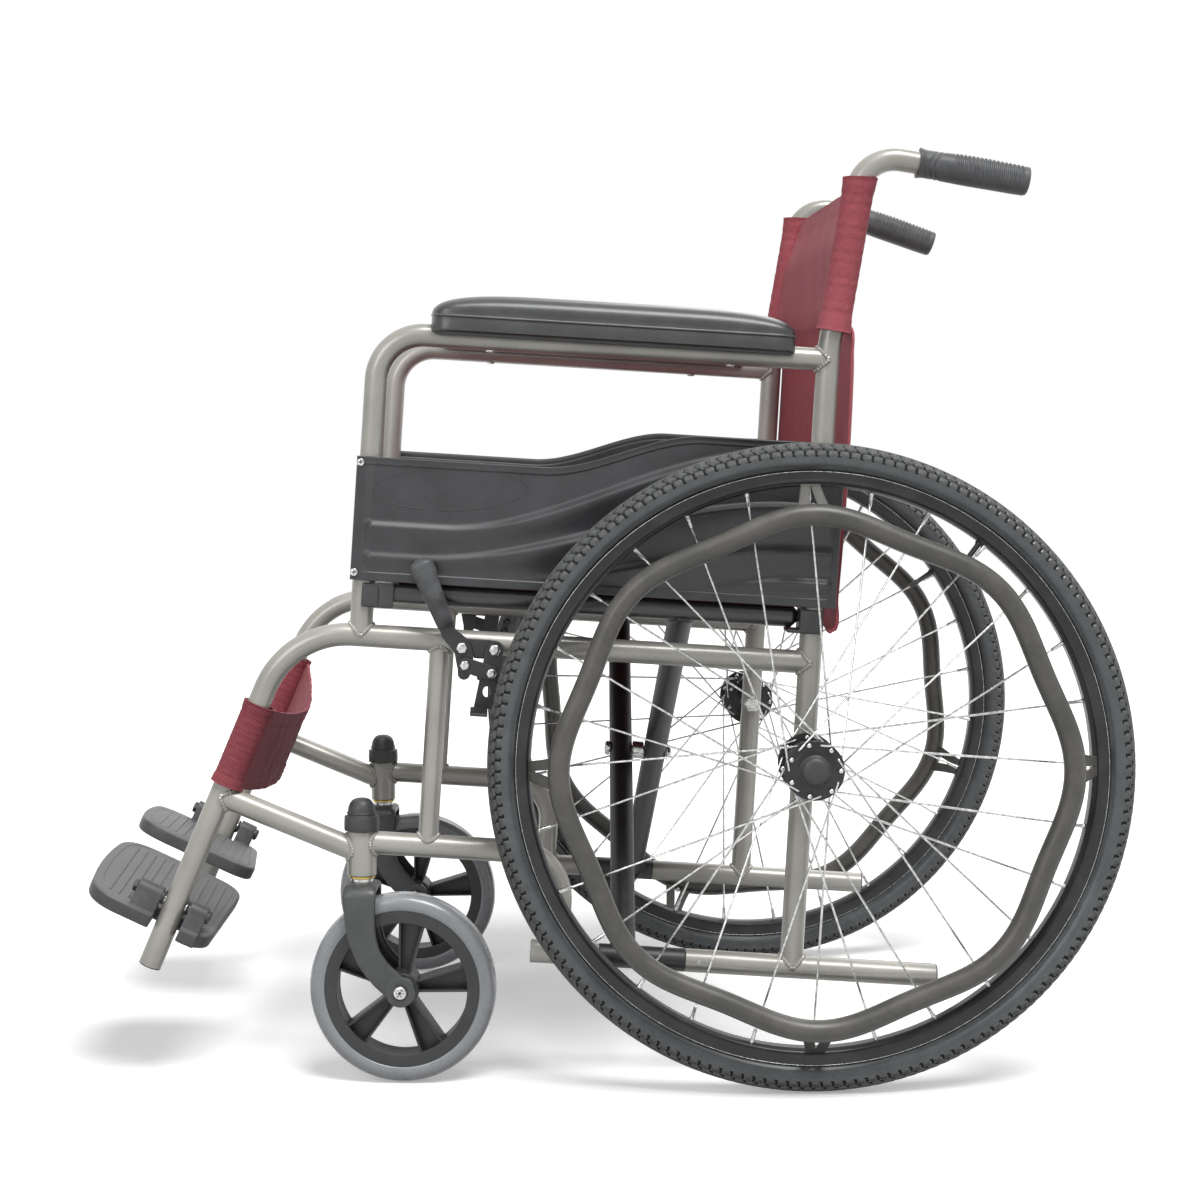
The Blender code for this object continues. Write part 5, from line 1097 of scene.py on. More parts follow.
def fork_surface():
    """Both legs and the crown as one strap, carried up one leg, across and down the other.

    Its section is a rounded oblong: wide sign |cos t|^0.6 by thick sign |sin t|^0.6.
    """
    leg = [(0.0385, 0.0905, 0.0120), (0.0290, 0.0985, 0.0126), (0.0180, 0.1092, 0.0124)]
    leg += [
        (0.0080, 0.1240, 0.0125), (0.0022, 0.1420, 0.0136), (0.0003, 0.1590, 0.0147), (0.0, 0.1740, 0.0156)
    ]
    knots = [(-leg_x, y, z, w, 0.0036) for y, z, w in leg]
    knots += [(-0.0228, 0, 0.1822, 0.0160, 0.0040), (-0.0150, 0, 0.1856, 0.0160, 0.0044)]
    knots = np.array([*knots, (0, 0, 0.1858, 0.0160, 0.0044)])
    mirror = knots[-2::-1] * [-1, 1, 1, 1, 1]
    line = flowing(np.concatenate([knots, mirror]), 150)
    path, wide, thick = line[:, :3], line[:, 3:4], line[:, 4:5]
    ahead = unit(np.gradient(path, axis=0))
    out = unit(np.cross(ahead * [1, 0, 1], y_axis))
    across = np.cross(ahead, out)
    t = np.linspace(0, math.tau, 36, endpoint=False)
    c, s = (np.sign(way) * np.abs(way) ** 0.6 for way in (np.cos(t), np.sin(t)))
    return path[:, None] + (across * wide)[:, None] * c[:, None] + (out * thick)[:, None] * s[:, None]


def caster_ring(profile, easing=0.0008, around=128):
    """A closed section (out, radius) turned about the caster's axle."""
    return spun(profile, [0, trail, caster_r], x_axis, around, easing, loop=True)


# Solid rubber, glossy from the mould, with a little dirt where it has rolled, and a yellow bearing ring.
cast_rubber = mottled(
    paint(148, 151, 155), paint(124, 126, 128), gloss=(0.22, 0.18), spots=(55, 5.0, 0.7),
    fade=(0.45, 0.85), grain=(500, 2.0, 1), bump=(0.00008, 0.4),
)
brass_wash = mottled(
    paint(150, 125, 60), paint(205, 180, 105), gloss=(0.2, 0.22), spots=(300, 3.0, 0.5), fade=None,
    bump=(0.00003, 0.4),
)
grey_rubber = finish("grey_rubber", cast_rubber, Coat_Weight=0.35, Coat_Roughness=0.12)
passivated = finish("yellow_passivated", brass_wash, Metallic=1.0)
fork_plastic = finish(
    "fork_moulding", grained_plastic(paint(64, 66, 66), paint(80, 82, 81)), Coat_Weight=0.1
)
wheel_plastic = finish("caster_centre_moulding", grained_plastic(paint(38, 39, 39), paint(54, 55, 55)))

for side, sign in sides.items():
    axle = np.array([0, trail, caster_r])
    boss = [(0.0213, 0.0060), (0.0213, 0.0143), (0.0290, 0.0143), (0.0290, 0.0078), (0.0284, 0.0074)]
    boss.append((0.0284, 0.0050))
    crown = [(0.176, 0.010), (fork_top - 0.0005, 0.0150), (fork_top, 0.0125), (fork_top, 0.0100)]
    skins = [skin(fork_surface()), *(spun(boss, axle, x_axis * e, 48, 0.0009) for e in (1, -1))]
    skins.append(spun(crown, [0, 0, 0], z_axis, 40, 0.0008))
    collar = [(fork_top, 0.0095), (fork_top, 0.0112), (0.1942, 0.0112), (0.1942, 0.0095)]
    ring = [(0.1944, 0.0098), (0.1944, 0.0127), (0.1965, 0.0127), (0.1965, 0.0098)]
    stem = [(0.178, 0.0088), (barrel_top - 0.003, 0.0088)]
    for profile, kind in ((collar, 1), (ring, 2), (stem, 1)):
        skins.append(spun(profile, [0, 0, 0], z_axis, 40, 0.0003, kind))
    body, finishes = f"caster_swivel_{side}", [fork_plastic, zinc, passivated]
    piece(f"fork_{side}", swivelled(skins, sign), body, finishes, "black_plastic", [f"caster_fork_{side}"])

    skins = []
    for e in (1, -1):
        out, face = x_axis * e, axle + x_axis * e * 0.0287
        skins.append(head(face, out, 0.0066, 0.0040, dome=0.5))
        for k in range(6):
            way, _ = round_axle(math.tau * k / 6)
            lobe = [(0.0034, 0.0006), (0.0042, 0.0007), (0.0043, 0.0003)]
            skins.append(skin(turned(lobe, face + way * 0.0032, out, 8), finish=1))
        skins.append(
            skin(turned([(0.0030, 0.0018), (0.0043, 0.0018), (0.0040, 0.0012)], face, out, 6), finish=1)
        )
    skins.append(skin(turned([(-0.0287, 0.0040), (0.0287, 0.0040)], axle, x_axis, 20)))
    finishes = [zinc, black_plastic]
    piece(f"caster_bolt_{side}", swivelled(skins, sign), body, finishes, "zinc", [f"caster_axle_{side}"])

    half = [(0.0060, 0.0640), (0.0148, 0.0628), (0.0150, 0.0660), (0.0150, 0.0742), (0.0146, 0.0748)]
    skins = [caster_ring(mirrored(half))]
    hub = [(0.0205, 0.0045), (0.0205, 0.0110), (0.0190, 0.0118), (0.0190, 0.0158), (0.0150, 0.0168)]
    skins.append(caster_ring(mirrored(hub), around=64))
    for k in range(5):
        level, round_ = round_axle(math.radians(9) + math.tau * k / 5)
        near = [axle + level * 0.0120 + round_ * 0.0052 * e for e in (-1, 1)]
        far = [axle + level * 0.0655 + round_ * 0.0128 * e for e in (-1, 1)]
        web = x_axis * 0.0020
        skins.append(skin(plate([near[0], far[0], far[1], near[1]], -web, web, 0.0003)))
        for e, start, end in zip((-1, 1), near, far):
            inward = -round_ * e * 0.0021
            corners = eased([start, end, end + inward, start + inward], 0.0004, 3, loop=True)
            skins.append(skin(plate(corners, -x_axis * 0.0134, x_axis * 0.0134, 0.0005)))
        gate = [(0.0, 0.0016), (0.0006, 0.0014)]
        skins.append(skin(turned(gate, axle + level * 0.030 + web, x_axis, 16)))
    skins, body = swivelled(skins, sign), f"caster_spin_{side}"
    piece(f"caster_centre_{side}", skins, body, wheel_plastic, "black_plastic", [f"caster_wheel_{side}"])
    half = [(0.0153, 0.0745), (0.0160, 0.0770), (0.0162, 0.0800), (0.0152, 0.0850), (0.0118, 0.0885)]
    half.append((0.0060, 0.0899))
    tread = swivelled([caster_ring(mirrored(half), 0.003, 160)], sign)
    piece(f"caster_tread_{side}", tread, body, grey_rubber, "grey_rubber", [f"caster_tyre_{side}"])

    foot = [sign * frame_x, axle_y + barrel_y, barrel_top]
    cap = [(0.0003, 0.0150), (0.0003, 0.0168), (0.0060, 0.0170), (0.0136, 0.0166), (0.0140, 0.0155)]
    cap.append((0.0146, 0.0138))
    cap += [(0.0155 + 0.0155 * math.sin(u), 0.0136 * math.cos(u) ** 0.62) for u in np.linspace(0, 1.5, 14)]
    rib = [(0.0162, 0.0140), (0.0170, 0.0143), (0.0178, 0.0139)]
    skins = [spun(cap, foot, z_axis, 48, 0.0004), skin(turned(rib, foot, z_axis, 40))]
    piece(
        f"barrel_cap_{side}", skins, f"{side}_frame", black_plastic, "black_plastic", [f"caster_cap_{side}"]
    )

# Footplates
# Grey moulded plates, each hung by two lugs on a bolt through the hanger. Low bars across the tread give
# grip, and a ridge runs round inside the edge.
plate_slope, plate_cant, pin_height = math.radians(25.4), math.radians(4.8), 0.0648
plate_inner, plate_outer, plate_front, plate_top, plate_foot = -0.177, 0.017, -0.079, -0.0147, -0.0297
notch, lug_front, lug_rear, lug_r = 0.0145, -0.040, 0.033, 0.0090
down_plate = np.array([0, math.cos(plate_slope), -math.sin(plate_slope)])
up_plate = np.array([0, math.sin(plate_slope), math.cos(plate_slope)])


def on_plate(points, sign):
    """Footplate sizes (out, s down the slope, n up) as places, its inner edge canted up about the pin."""
    out, s, n = np.moveaxis(np.asarray(points, float), -1, 0)
    c, k = math.cos(plate_cant), math.sin(plate_cant)
    across, s, up = (v[..., None] for v in (out * c + n * k, s, n * c - out * k))
    return on_hanger(pin_height, sign * frame_x) + across * x_axis * sign + s * down_plate + up * up_plate


def tread_outline(with_notch=True):
    """The plate's outline, or its tread's beside the notch: (out, s, 0), with a bulging front."""
    corners = [(plate_inner, 0.054, 0.032), (plate_inner, plate_front, 0.034)]
    if with_notch:
        corners += [
            (plate_outer, plate_front, 0.034), (plate_outer, -notch, 0.0045), (-notch, -notch, 0.003)
        ]
        corners += [(-notch, notch, 0.003), (plate_outer, notch, 0.0045), (plate_outer, 0.030, 0.014)]
        corners.append((0.001, 0.0455, 0.020))
    else:
        corners += [(-0.0105, plate_front, 0.016), (-0.0105, 0.0461, 0.014)]
    c = np.array(corners)
    line = eased(c[:, :2], c[:, 2], 14, loop=True)
    spots = []
    for p, q in zip(line, np.roll(line, -1, 0)):
        count = 11 if np.linalg.norm(q - p) > 0.03 else 1
        spots += [p + (q - p) * k / 11 for k in range(count)]
    spots = np.array(spots)
    middle, half = (plate_inner + plate_outer) / 2, (plate_outer - plate_inner) / 2
    bulge = np.where(
        spots[:, 1] < -0.02, np.clip(1 - ((spots[:, 0] - middle) / half) ** 2, 0, 1) * 0.008, 0
    )
    return np.stack([spots[:, 0], spots[:, 1] - bulge, 0 * bulge], axis=-1)


def footplate_plastic(wire):
    """Grey textured plastic, worn paler on the tread where shoes rest.

    Height over the hinge pin, square to the plate: n = (|x| - frame) sin c + (y sin s + z cos s - h) cos c.
    """
    scuff = noise(wire, 70, 6.0, roughness=0.75)
    grain = noise(wire, 1300, 2.0)
    spot = wire.node("ShaderNodeTexCoord", output="Object")
    axes = wire.node("ShaderNodeSeparateXYZ", None, {"Vector": spot}).socket.node
    x, y, z = (Wire(wire.tree, axes.outputs[name]) for name in "XYZ")
    pin = on_hanger(pin_height, frame_x)
    square = y * math.sin(plate_slope) + z * math.cos(plate_slope)
    level = pin[1] * math.sin(plate_slope) + pin[2] * math.cos(plate_slope)
    out = wire.maths("ABSOLUTE", x) - frame_x
    height = out * math.sin(plate_cant) + (square - float(level)) * math.cos(plate_cant)
    above = height.step(plate_top + 0.0008, plate_top + 0.0020)
    worn = height.step(plate_top - 0.0035, plate_top - 0.0005) * (1 - above)
    tone = scuff.step(0.35, 0.78) * 0.35 + worn * 0.65
    return {
        "Base Color": tone.mix(paint(64, 64, 66), paint(112, 112, 113)),
        "Roughness": scuff * 0.20 + grain * 0.10 + 0.36,
        "Normal": (grain * 0.6 + scuff * 0.4).bump(0.00015, 0.6),
    }


grey_plastic = finish("footplate_plastic", footplate_plastic)

for side, sign in sides.items():
    outline = tread_outline()
    shell = plate(outline, [0, 0, plate_foot], [0, 0, plate_top - 0.0006], 0.0030, 6)
    skins = [skin(on_plate(shell, sign))]
    inner_line = tread_outline(False)
    ahead = unit(np.roll(inner_line, -1, 0) - np.roll(inner_line, 1, 0))
    spin = np.cross(ahead, z_axis)
    spin *= 1 if ((inner_line - inner_line.mean(0)) * spin).sum() < 0 else -1
    ridge = inner_line + spin * 0.0085 + [0, 0, plate_top - 0.0011]
    skins.append(skin(on_plate(swept(ridge, 0.0011, 10, z_axis, loop=True), sign), loop=True))
    for k in range(11):
        s = -0.0640 + 0.0098 * k
        end = 0.004 if s < lug_front - 0.004 else -0.020 if s < lug_rear + 0.004 else -0.006
        x = np.linspace(plate_inner + 0.016 + 0.006 * max(0, abs(s + 0.012) / 0.05 - 0.6), end, 40)
        shape = np.sqrt(np.clip(1 - (np.abs(2 * (x - x.mean()) / (x[-1] - x[0]))) ** 40, 0.02, 1))
        bar = np.stack([x, np.full(40, s), np.full(40, plate_top - 0.0018)], axis=-1)
        grid = swept(bar, 1.0, 14, z_axis)
        up = grid - bar[:, None]
        grid = bar[:, None] + up * np.array([0, 0.0024, 0.0022]) * shape[:, None, None]
        skins.append(skin(on_plate(grid, sign)))
    foot, inner, outer = plate_foot + 0.0005, -0.0125, plate_outer - 0.0006
    turn = np.linspace(0, math.pi, 20)
    arc = np.stack([lug_r * np.cos(turn), lug_r * np.sin(turn)], axis=-1)
    lug = [(inner, -0.0105), (inner, foot), (outer, foot), (outer, -0.0095)]
    outline = np.concatenate([eased(lug, 0.0015, 5), arc])
    outline = np.stack([outline[:, 0], 0 * outline[:, 0], outline[:, 1]], axis=-1)
    for start, end in ((lug_front, -notch), (notch, lug_rear)):
        skins.append(skin(on_plate(plate(outline, [0, start, 0], [0, end, 0], 0.0012, 5), sign)))
    piece(
        f"tread_plate_{side}", skins, f"footrest_{side}", grey_plastic, "grey_plastic",
        [f"footplate_{side}"],
    )

    spot, down = on_hanger(pin_height, sign * frame_x), down_plate
    wall, end = tube_r + 0.0003, notch - 0.0004
    skins = [skin(turned([(lug_front - 0.002, 0.0040), (lug_rear + 0.002, 0.0040)], spot, down, 20))]
    ends = [head(spot + down * (lug_front - 0.0003), -down, 0.0065, 0.004, flats=6)]
    ends.append(head(spot + down * (lug_rear + 0.0003), down, 0.0065, 0.004, dome=0.5))
    skins += second(ends)
    spool = [(wall, 0.0052), (wall, 0.0074), (wall + 0.0009, 0.0078), (wall + 0.0016, 0.0066)]
    spool += [(end, 0.0066), (end, 0.0045)]
    skins += [spun(spool, spot, down * e, 32, 0.0003, 1) for e in (-1, 1)]
    piece(
        f"footplate_bolt_{side}", skins, f"{side}_frame", [zinc, black_plastic], "zinc",
        [f"footplate_pin_{side}"],
    )

# Brakes
# A pair of pivots on a bracket clamped to each seat rail. The hand lever pushes the shoe arm through a
# short link, all in black pressed steel with zinc bolts; the lever has a dark rubber grip.
brake_a = -wheel_r - 0.0305
lever_pivot, arm_pivot = (brake_a, 0.0885), (brake_a + 0.0314, 0.0883)
link_on_lever, link_on_arm = (brake_a + 0.0039, 0.0724), (brake_a + 0.0295, 0.0661)
lever_neck, lever_tip = (brake_a - 0.0133, 0.1019), (brake_a - 0.0461, 0.1713)
shoe_a, shoe_b, shoe_top = brake_a + 0.0230, 0.0290, 0.0325
bracket_x, lever_x, link_x, shoe_x, brake_plate = 0.2425, 0.2460, 0.2495, 0.2965, 0.0030


def bar(points, half, inner_x, sign, thickness=brake_plate):
    """A flat bar with round ends between two (a, b) points; half is its half width at each end."""
    (a0, b0), (a1, b1) = points
    h0, h1 = half if isinstance(half, tuple) else (half, half)
    heading = math.atan2(b1 - b0, a1 - a0)
    turn = np.linspace(0, math.pi, 14)
    ends = [(a1, b1, h1, turn + heading - math.pi / 2), (a0, b0, h0, turn + heading + math.pi / 2)]
    outline = np.concatenate(
        [np.stack([a + h * np.cos(u), b + h * np.sin(u)], axis=-1) for a, b, h, u in ends]
    )
    spots = place(outline[:, 0], outline[:, 1])
    return skin(plate(spots, x_axis * sign * inner_x, x_axis * sign * (inner_x + thickness), 0.0004))


def strap(knots, inner_x, sign):
    """A flat bar along a smooth line of (a, b, half width) knots, with round ends."""
    line = flowing(knots, 20)
    spots, half = line[:, :2], line[:, 2:]
    ahead = unit(np.gradient(spots, axis=0))
    across = ahead[:, ::-1] * [-1, 1]
    turn = np.linspace(0, math.pi, 14)[1:-1, None]
    tip = spots[-1] + half[-1] * (across[-1] * np.cos(turn) + ahead[-1] * np.sin(turn))
    tail = spots[0] - half[0] * (across[0] * np.cos(turn) + ahead[0] * np.sin(turn))
    outline = np.concatenate([spots + across * half, tip, (spots - across * half)[::-1], tail])
    low = x_axis * sign * inner_x
    return skin(plate(place(outline[:, 0], outline[:, 1]), low, low + x_axis * sign * brake_plate, 0.0005))


def holed(outline, centre, reach, inner_x, sign):
    """A flat plate with an oval hole: at every angle from the hole's centre, the outline and the ellipse."""
    closed = np.concatenate([outline, outline[:1]])
    d = lengths(closed)
    at = np.linspace(0, d[-1], 96, endpoint=False)
    outer = np.stack([np.interp(at, d, closed[:, k]) for k in (0, 1)], axis=-1)
    way = unit(outer - centre)
    inner = centre + way / np.linalg.norm(way / reach, axis=1, keepdims=True)
    faces = [(outer, 0), (outer, brake_plate), (inner, brake_plate), (inner, 0)]
    return skin(np.stack([place(v[:, 0], v[:, 1], sign * (inner_x + x)) for v, x in faces]), loop=True)


def hex_bolt(point, sign, face, radius=0.0060):
    """A hexagon bolt head on a brake plate whose outside is this far from the middle."""
    return head(place(*point) + x_axis * sign * face, x_axis * sign, radius, 0.0045, flats=6, dome=0.45)


for side, sign in sides.items():
    out = x_axis * sign
    x = sign * frame_x
    foot_a, end_a = brake_a + 0.003, brake_a + 0.0284
    saddle = ((foot_a, -0.0085), (end_a, -0.0085), (end_a, 0.0040), (foot_a, 0.0040))
    saddle = eased([place(a, seat_rail_b + b) for a, b in saddle], 0.002, 5, loop=True)
    skins = [
        bar((lever_pivot, arm_pivot), 0.0085, bracket_x, sign),
        skin(plate(saddle, x_axis * (x + sign * 0.0095), x_axis * sign * (bracket_x + 0.0005), 0.0005)),
    ]
    pins = []
    for point in (lever_pivot, arm_pivot):
        pins.append(hex_bolt(point, sign, lever_x + brake_plate + 0.0002))
        pin = [(bracket_x + 0.001, 0.0038), (lever_x + brake_plate, 0.0038)]
        pins.append(skin(turned(pin, place(*point), out, 20)))
    skins += second(pins)
    finishes = [black_paint, zinc]
    piece(f"brake_clamp_{side}", skins, f"{side}_frame", finishes, "black_paint", [f"brake_bracket_{side}"])

    neck, tip = place(*lever_neck), place(*lever_tip)
    on = unit(tip - neck)
    reach = float(np.linalg.norm(tip - neck))
    knots = [
        (0.0060, 0.0070, 0.0026), (0.0072, 0.0080, 0.0040), (0.016, 0.0086, 0.0066), (0.032, 0.0094, 0.0076)
    ]
    knots += [(0.050, 0.0106, 0.0074), (reach - 0.013, 0.0122, 0.0074), (reach - 0.0045, 0.0110, 0.0070)]
    knots += [(reach - 0.0008, 0.0058, 0.0044), (reach + 0.0003, 0.0014, 0.0012)]
    line = flowing(knots, 60)
    d, wide, thick = line.T
    middle = neck + on * d[:, None] + out * (lever_x + thick + 0.0052 * smooth(d, 0.022, 0.042))[:, None]
    across = np.cross(on, out)
    t = np.linspace(0, math.tau, 36, endpoint=False)
    ring = across * np.cos(t)[:, None]
    grip = middle[:, None] + ring * wide[:, None, None] + out * (np.sin(t)[:, None] * thick[:, None, None])
    (link_a, link_b), (neck_a, neck_b) = link_on_lever, lever_neck
    knots = [(link_a - 0.0005, link_b - 0.0085, 0.0060), (link_a, link_b, 0.0080), (*lever_pivot, 0.0088)]
    knots += [(neck_a, neck_b, 0.0074), (neck_a - 0.008, neck_b + 0.0187, 0.0056)]
    skins, finishes = [strap(knots, lever_x, sign), skin(grip, finish=1)], [black_paint, grip_rubber]
    piece(
        f"hand_lever_{side}", skins, f"brake_handle_{side}", finishes, "black_paint",
        [f"brake_lever_{side}"],
    )

    down = unit(np.array([shoe_a, shoe_b]) - arm_pivot)
    over = np.linspace(0, math.pi, 16)[:, None]
    round_top = np.array(arm_pivot) + 0.0085 * (
        np.array([down[1], -down[0]]) * np.cos(over) - down * np.sin(over)
    )
    outline = np.concatenate(
        [round_top, [(shoe_a + 0.0085, shoe_top - 0.0010), (shoe_a - 0.0085, shoe_top - 0.0010)]]
    )
    skins = [holed(outline, (brake_a + 0.0262, 0.0478), (0.0038, 0.0052), lever_x, sign)]
    shoe = ((-0.0115, -0.0030), (0.005, -0.0030), (0.005, 0), (-0.0115, 0))
    shoe = eased([place(shoe_a + p, shoe_top + q) for p, q in shoe], 0.0010, 5, loop=True)
    skins.append(skin(plate(shoe, out * (lever_x + 0.0002), out * shoe_x, 0.0008)))
    piece(
        f"shoe_arm_{side}", skins, f"brake_shoe_{side}", black_paint, "black_paint", [f"brake_arm_{side}"]
    )

    skins = [bar((link_on_lever, link_on_arm), 0.0072, link_x, sign)]
    face = link_x + brake_plate - 0.0002
    pins = [hex_bolt(point, sign, face, 0.0053) for point in (link_on_lever, link_on_arm)]
    pins.append(
        skin(turned([(lever_x + 0.0004, 0.0037), (link_x + 0.002, 0.0037)], place(*link_on_lever), out, 20))
    )
    nub = [(link_x + 0.0005, 0.0026), (link_x + 0.0026, 0.0026), (link_x + 0.0026, 0.0016)]
    skins.append(spun(nub, place(link_a + 0.0145, link_b - 0.0112), out, 20, 0.0004))
    skins, finishes = skins + second(pins), [black_paint, zinc]
    piece(
        f"link_plate_{side}", skins, f"brake_coupler_{side}", finishes, "black_paint",
        [f"brake_link_{side}"],
    )

# Side panels
# Skirt guards moulded in black plastic, screwed to the front post through a flat flange. Four waves run
# back and up across them, a lip stiffens the top edge, and a fine line draws an oval in front.
panel_front_a, panel_rear_a, panel_bottom_b, panel_inner_x, panel_t = -0.447, 0.020, 0.147, 0.2414, 0.003
panel_step = 0.0016
panel_waves = [
    (0.2055, 0.2935, -0.360, -0.050),
    (0.1755, 0.2470, -0.385, -0.030),
    (0.1560, 0.2050, -0.330, -0.020),
    (0.1556, 0.1750, -0.150, -0.020),
]


def panel_top(a):
    """The top edge, which rises in an S."""
    return 0.266 + 0.039 * smooth(a, -0.268, -0.115)


def panel_relief(a, b):
    """How far the outside stands out: the flange's step, the lip, the foot strip and the waves.

    Under its line each wave steps out over 10 mm and falls back by the next line. The waves are lower in
    front, where the brake lever's grip passes.
    """
    lines = [low + (high - low) * smooth(a, start, end) for low, high, start, end in panel_waves]
    lines.append(np.full_like(a, 0.1552))
    inside = smooth(a, -0.4385, -0.4290) * smooth(-a, -0.0150, -0.0090)
    waves = np.zeros_like(a)
    for line, following in zip(lines, lines[1:]):
        gap = np.maximum(line - following, 1e-5)
        down = np.clip((line - b) / gap, 0, 1)
        rise = smooth(line - b, -0.0015, 0.0075)
        waves += np.clip(gap / 0.022, 0, 1) ** 1.5 * rise * (1 - smooth(down, 0.12, 1))
    top = panel_top(a)
    lip = 0.0011 * smooth(b, top - 0.0082, top - 0.0072)
    lip += 0.0009 * smooth(b, top - 0.0032, top - 0.0014)
    foot = 0.0008 * smooth(-b, -0.1559, -0.1549)
    height = 0.0040 + 0.0022 * smooth(a, -0.330, -0.280)
    return panel_step * smooth(a, -0.4385, -0.4290) + inside * (waves * height + foot) + lip


panel_grain = grained_plastic(paint(40, 41, 43), paint(58, 59, 61))
panel_plastic = finish("panel_moulding", panel_grain, Coat_Weight=0.15, Coat_Roughness=0.25)

for side, sign in sides.items():
    runs = ((panel_front_a, -0.425, 34), (-0.425, 0.006, 250), (0.006, panel_rear_a, 18))
    a = np.unique(np.concatenate([np.linspace(*run) for run in runs]))
    near_edge = np.array(
        [0, 0.0003, 0.0008, 0.0016, 0.003, 0.005, 0.007, 0.0078, 0.0082, 0.0086, 0.0092, 0.0105]
    )
    top = panel_top(a)
    low, high = panel_bottom_b + near_edge, top[:, None] - near_edge[::-1]
    middle = np.linspace(0, 1, 92)[1:-1]
    between = low[-1] + (high[:, :1] - low[-1]) * middle
    b = np.concatenate([np.broadcast_to(low, (len(a), len(low))), between, high], axis=1)
    grid_a = np.broadcast_to(a[:, None], b.shape)
    edge = np.minimum.reduce(
        [grid_a - panel_front_a, panel_rear_a - grid_a, b - panel_bottom_b, top[:, None] - b]
    )
    eased_edge = 0.0009 * (1 - np.sqrt(np.clip(1 - (1 - np.clip(edge / 0.0012, 0, 1)) ** 2, 0, 1)))
    x = panel_inner_x + panel_t + panel_relief(grid_a, b) - eased_edge
    skins = [slab(place(grid_a, b, sign * x), -sign * (panel_t - 0.0010))]
    turn = np.linspace(0, math.tau, 96, endpoint=False)
    oval_y, oval_z = 0.0738 * np.cos(turn), 0.0201 * np.sin(turn)
    oval_a = -0.3563 + oval_y * math.cos(tilt) - oval_z * math.sin(tilt)
    oval_b = 0.2393 + oval_y * math.sin(tilt) + oval_z * math.cos(tilt)
    line = place(oval_a, oval_b, sign * (panel_inner_x + panel_t + panel_step))
    skins.append(skin(swept(line, 0.00045, 8, x_axis, loop=True), loop=True))
    out = x_axis * sign
    tongue = eased([(0.0095, 0.288), (0.0185, 0.288), (0.0185, 0.300), (0.0095, 0.300)], 0.002, loop=True)
    skins.append(skin(plate(place(tongue[:, 0], tongue[:, 1]), out * 0.2300, out * 0.2420, 0.0004)))
    piece(
        f"skirt_guard_{side}", skins, f"{side}_frame", panel_plastic, "panel_plastic",
        [f"side_panel_{side}"],
    )

    skins = []
    for a, b in ((-0.4433, 0.2600), (-0.4433, 0.1543)):
        spot = place(a, b, sign * (panel_inner_x + panel_t))
        skins.append(head(spot, out, 0.0040, 0.0020, dome=0.9))
        for way in (along_rails, up_rails):
            across = np.cross(out, way)
            reach = np.array([way * 0.0021, across * 0.00045])
            corners = spot + np.array([[-1, -1], [1, -1], [1, 1], [-1, 1]]) @ reach
            skins.append(skin(plate(corners, out * 0.0013, out * 0.00202, 0.0001, 2), finish=1))
    piece(f"guard_screws_{side}", skins, f"{side}_frame", [zinc, black_plastic], "zinc")

# Armrest pads
# Foam on a board in black vinyl: a straight band round the board, a welt, and a crown that falls away at
# the rounded ends. Two screws come up through the armrest tube.
pad_front_a, pad_rear_a, pad_base_b = -0.384, -0.033, 0.390
pad_band, pad_crown, pad_half = 0.0156, 0.0226, 0.030


def vinyl(dark, light):
    """Grained vinyl with a soft sheen, rubbed a little paler and smoother in places."""

    def surface(wire):
        rub = noise(wire, 35, 4.0)
        spot = wire.node("ShaderNodeTexCoord", output="Object")
        cells = wire.node(
            "ShaderNodeTexVoronoi", {"feature": "DISTANCE_TO_EDGE"}, {"Vector": spot, "Scale": 900.0}
        )
        leather = cells.step(0.0, 0.22)
        return {
            "Base Color": (rub * 0.75 + leather * 0.25).step(0.3, 0.8).mix(dark, light),
            "Roughness": rub * 0.12 + 0.24,
            "Normal": (leather * 0.7 + noise(wire, 1500, 2.0) * 0.3).bump(0.0001, 0.5),
        }

    return surface


vinyl_gloss = {"Coat_Weight": 0.2, "Coat_Roughness": 0.22}
pad_vinyl = finish("pad_vinyl", vinyl(paint(53, 54, 55), paint(72, 73, 74)), **vinyl_gloss)
welt_vinyl = finish("welt_vinyl", vinyl(paint(78, 80, 82), paint(104, 106, 108)), **vinyl_gloss)


def pad_width(t):
    """The pad's half width at this share from its middle: nearly straight, with rounded ends."""
    return pad_half * np.maximum(1 - np.abs(t) ** 26, 0.02) ** 0.42


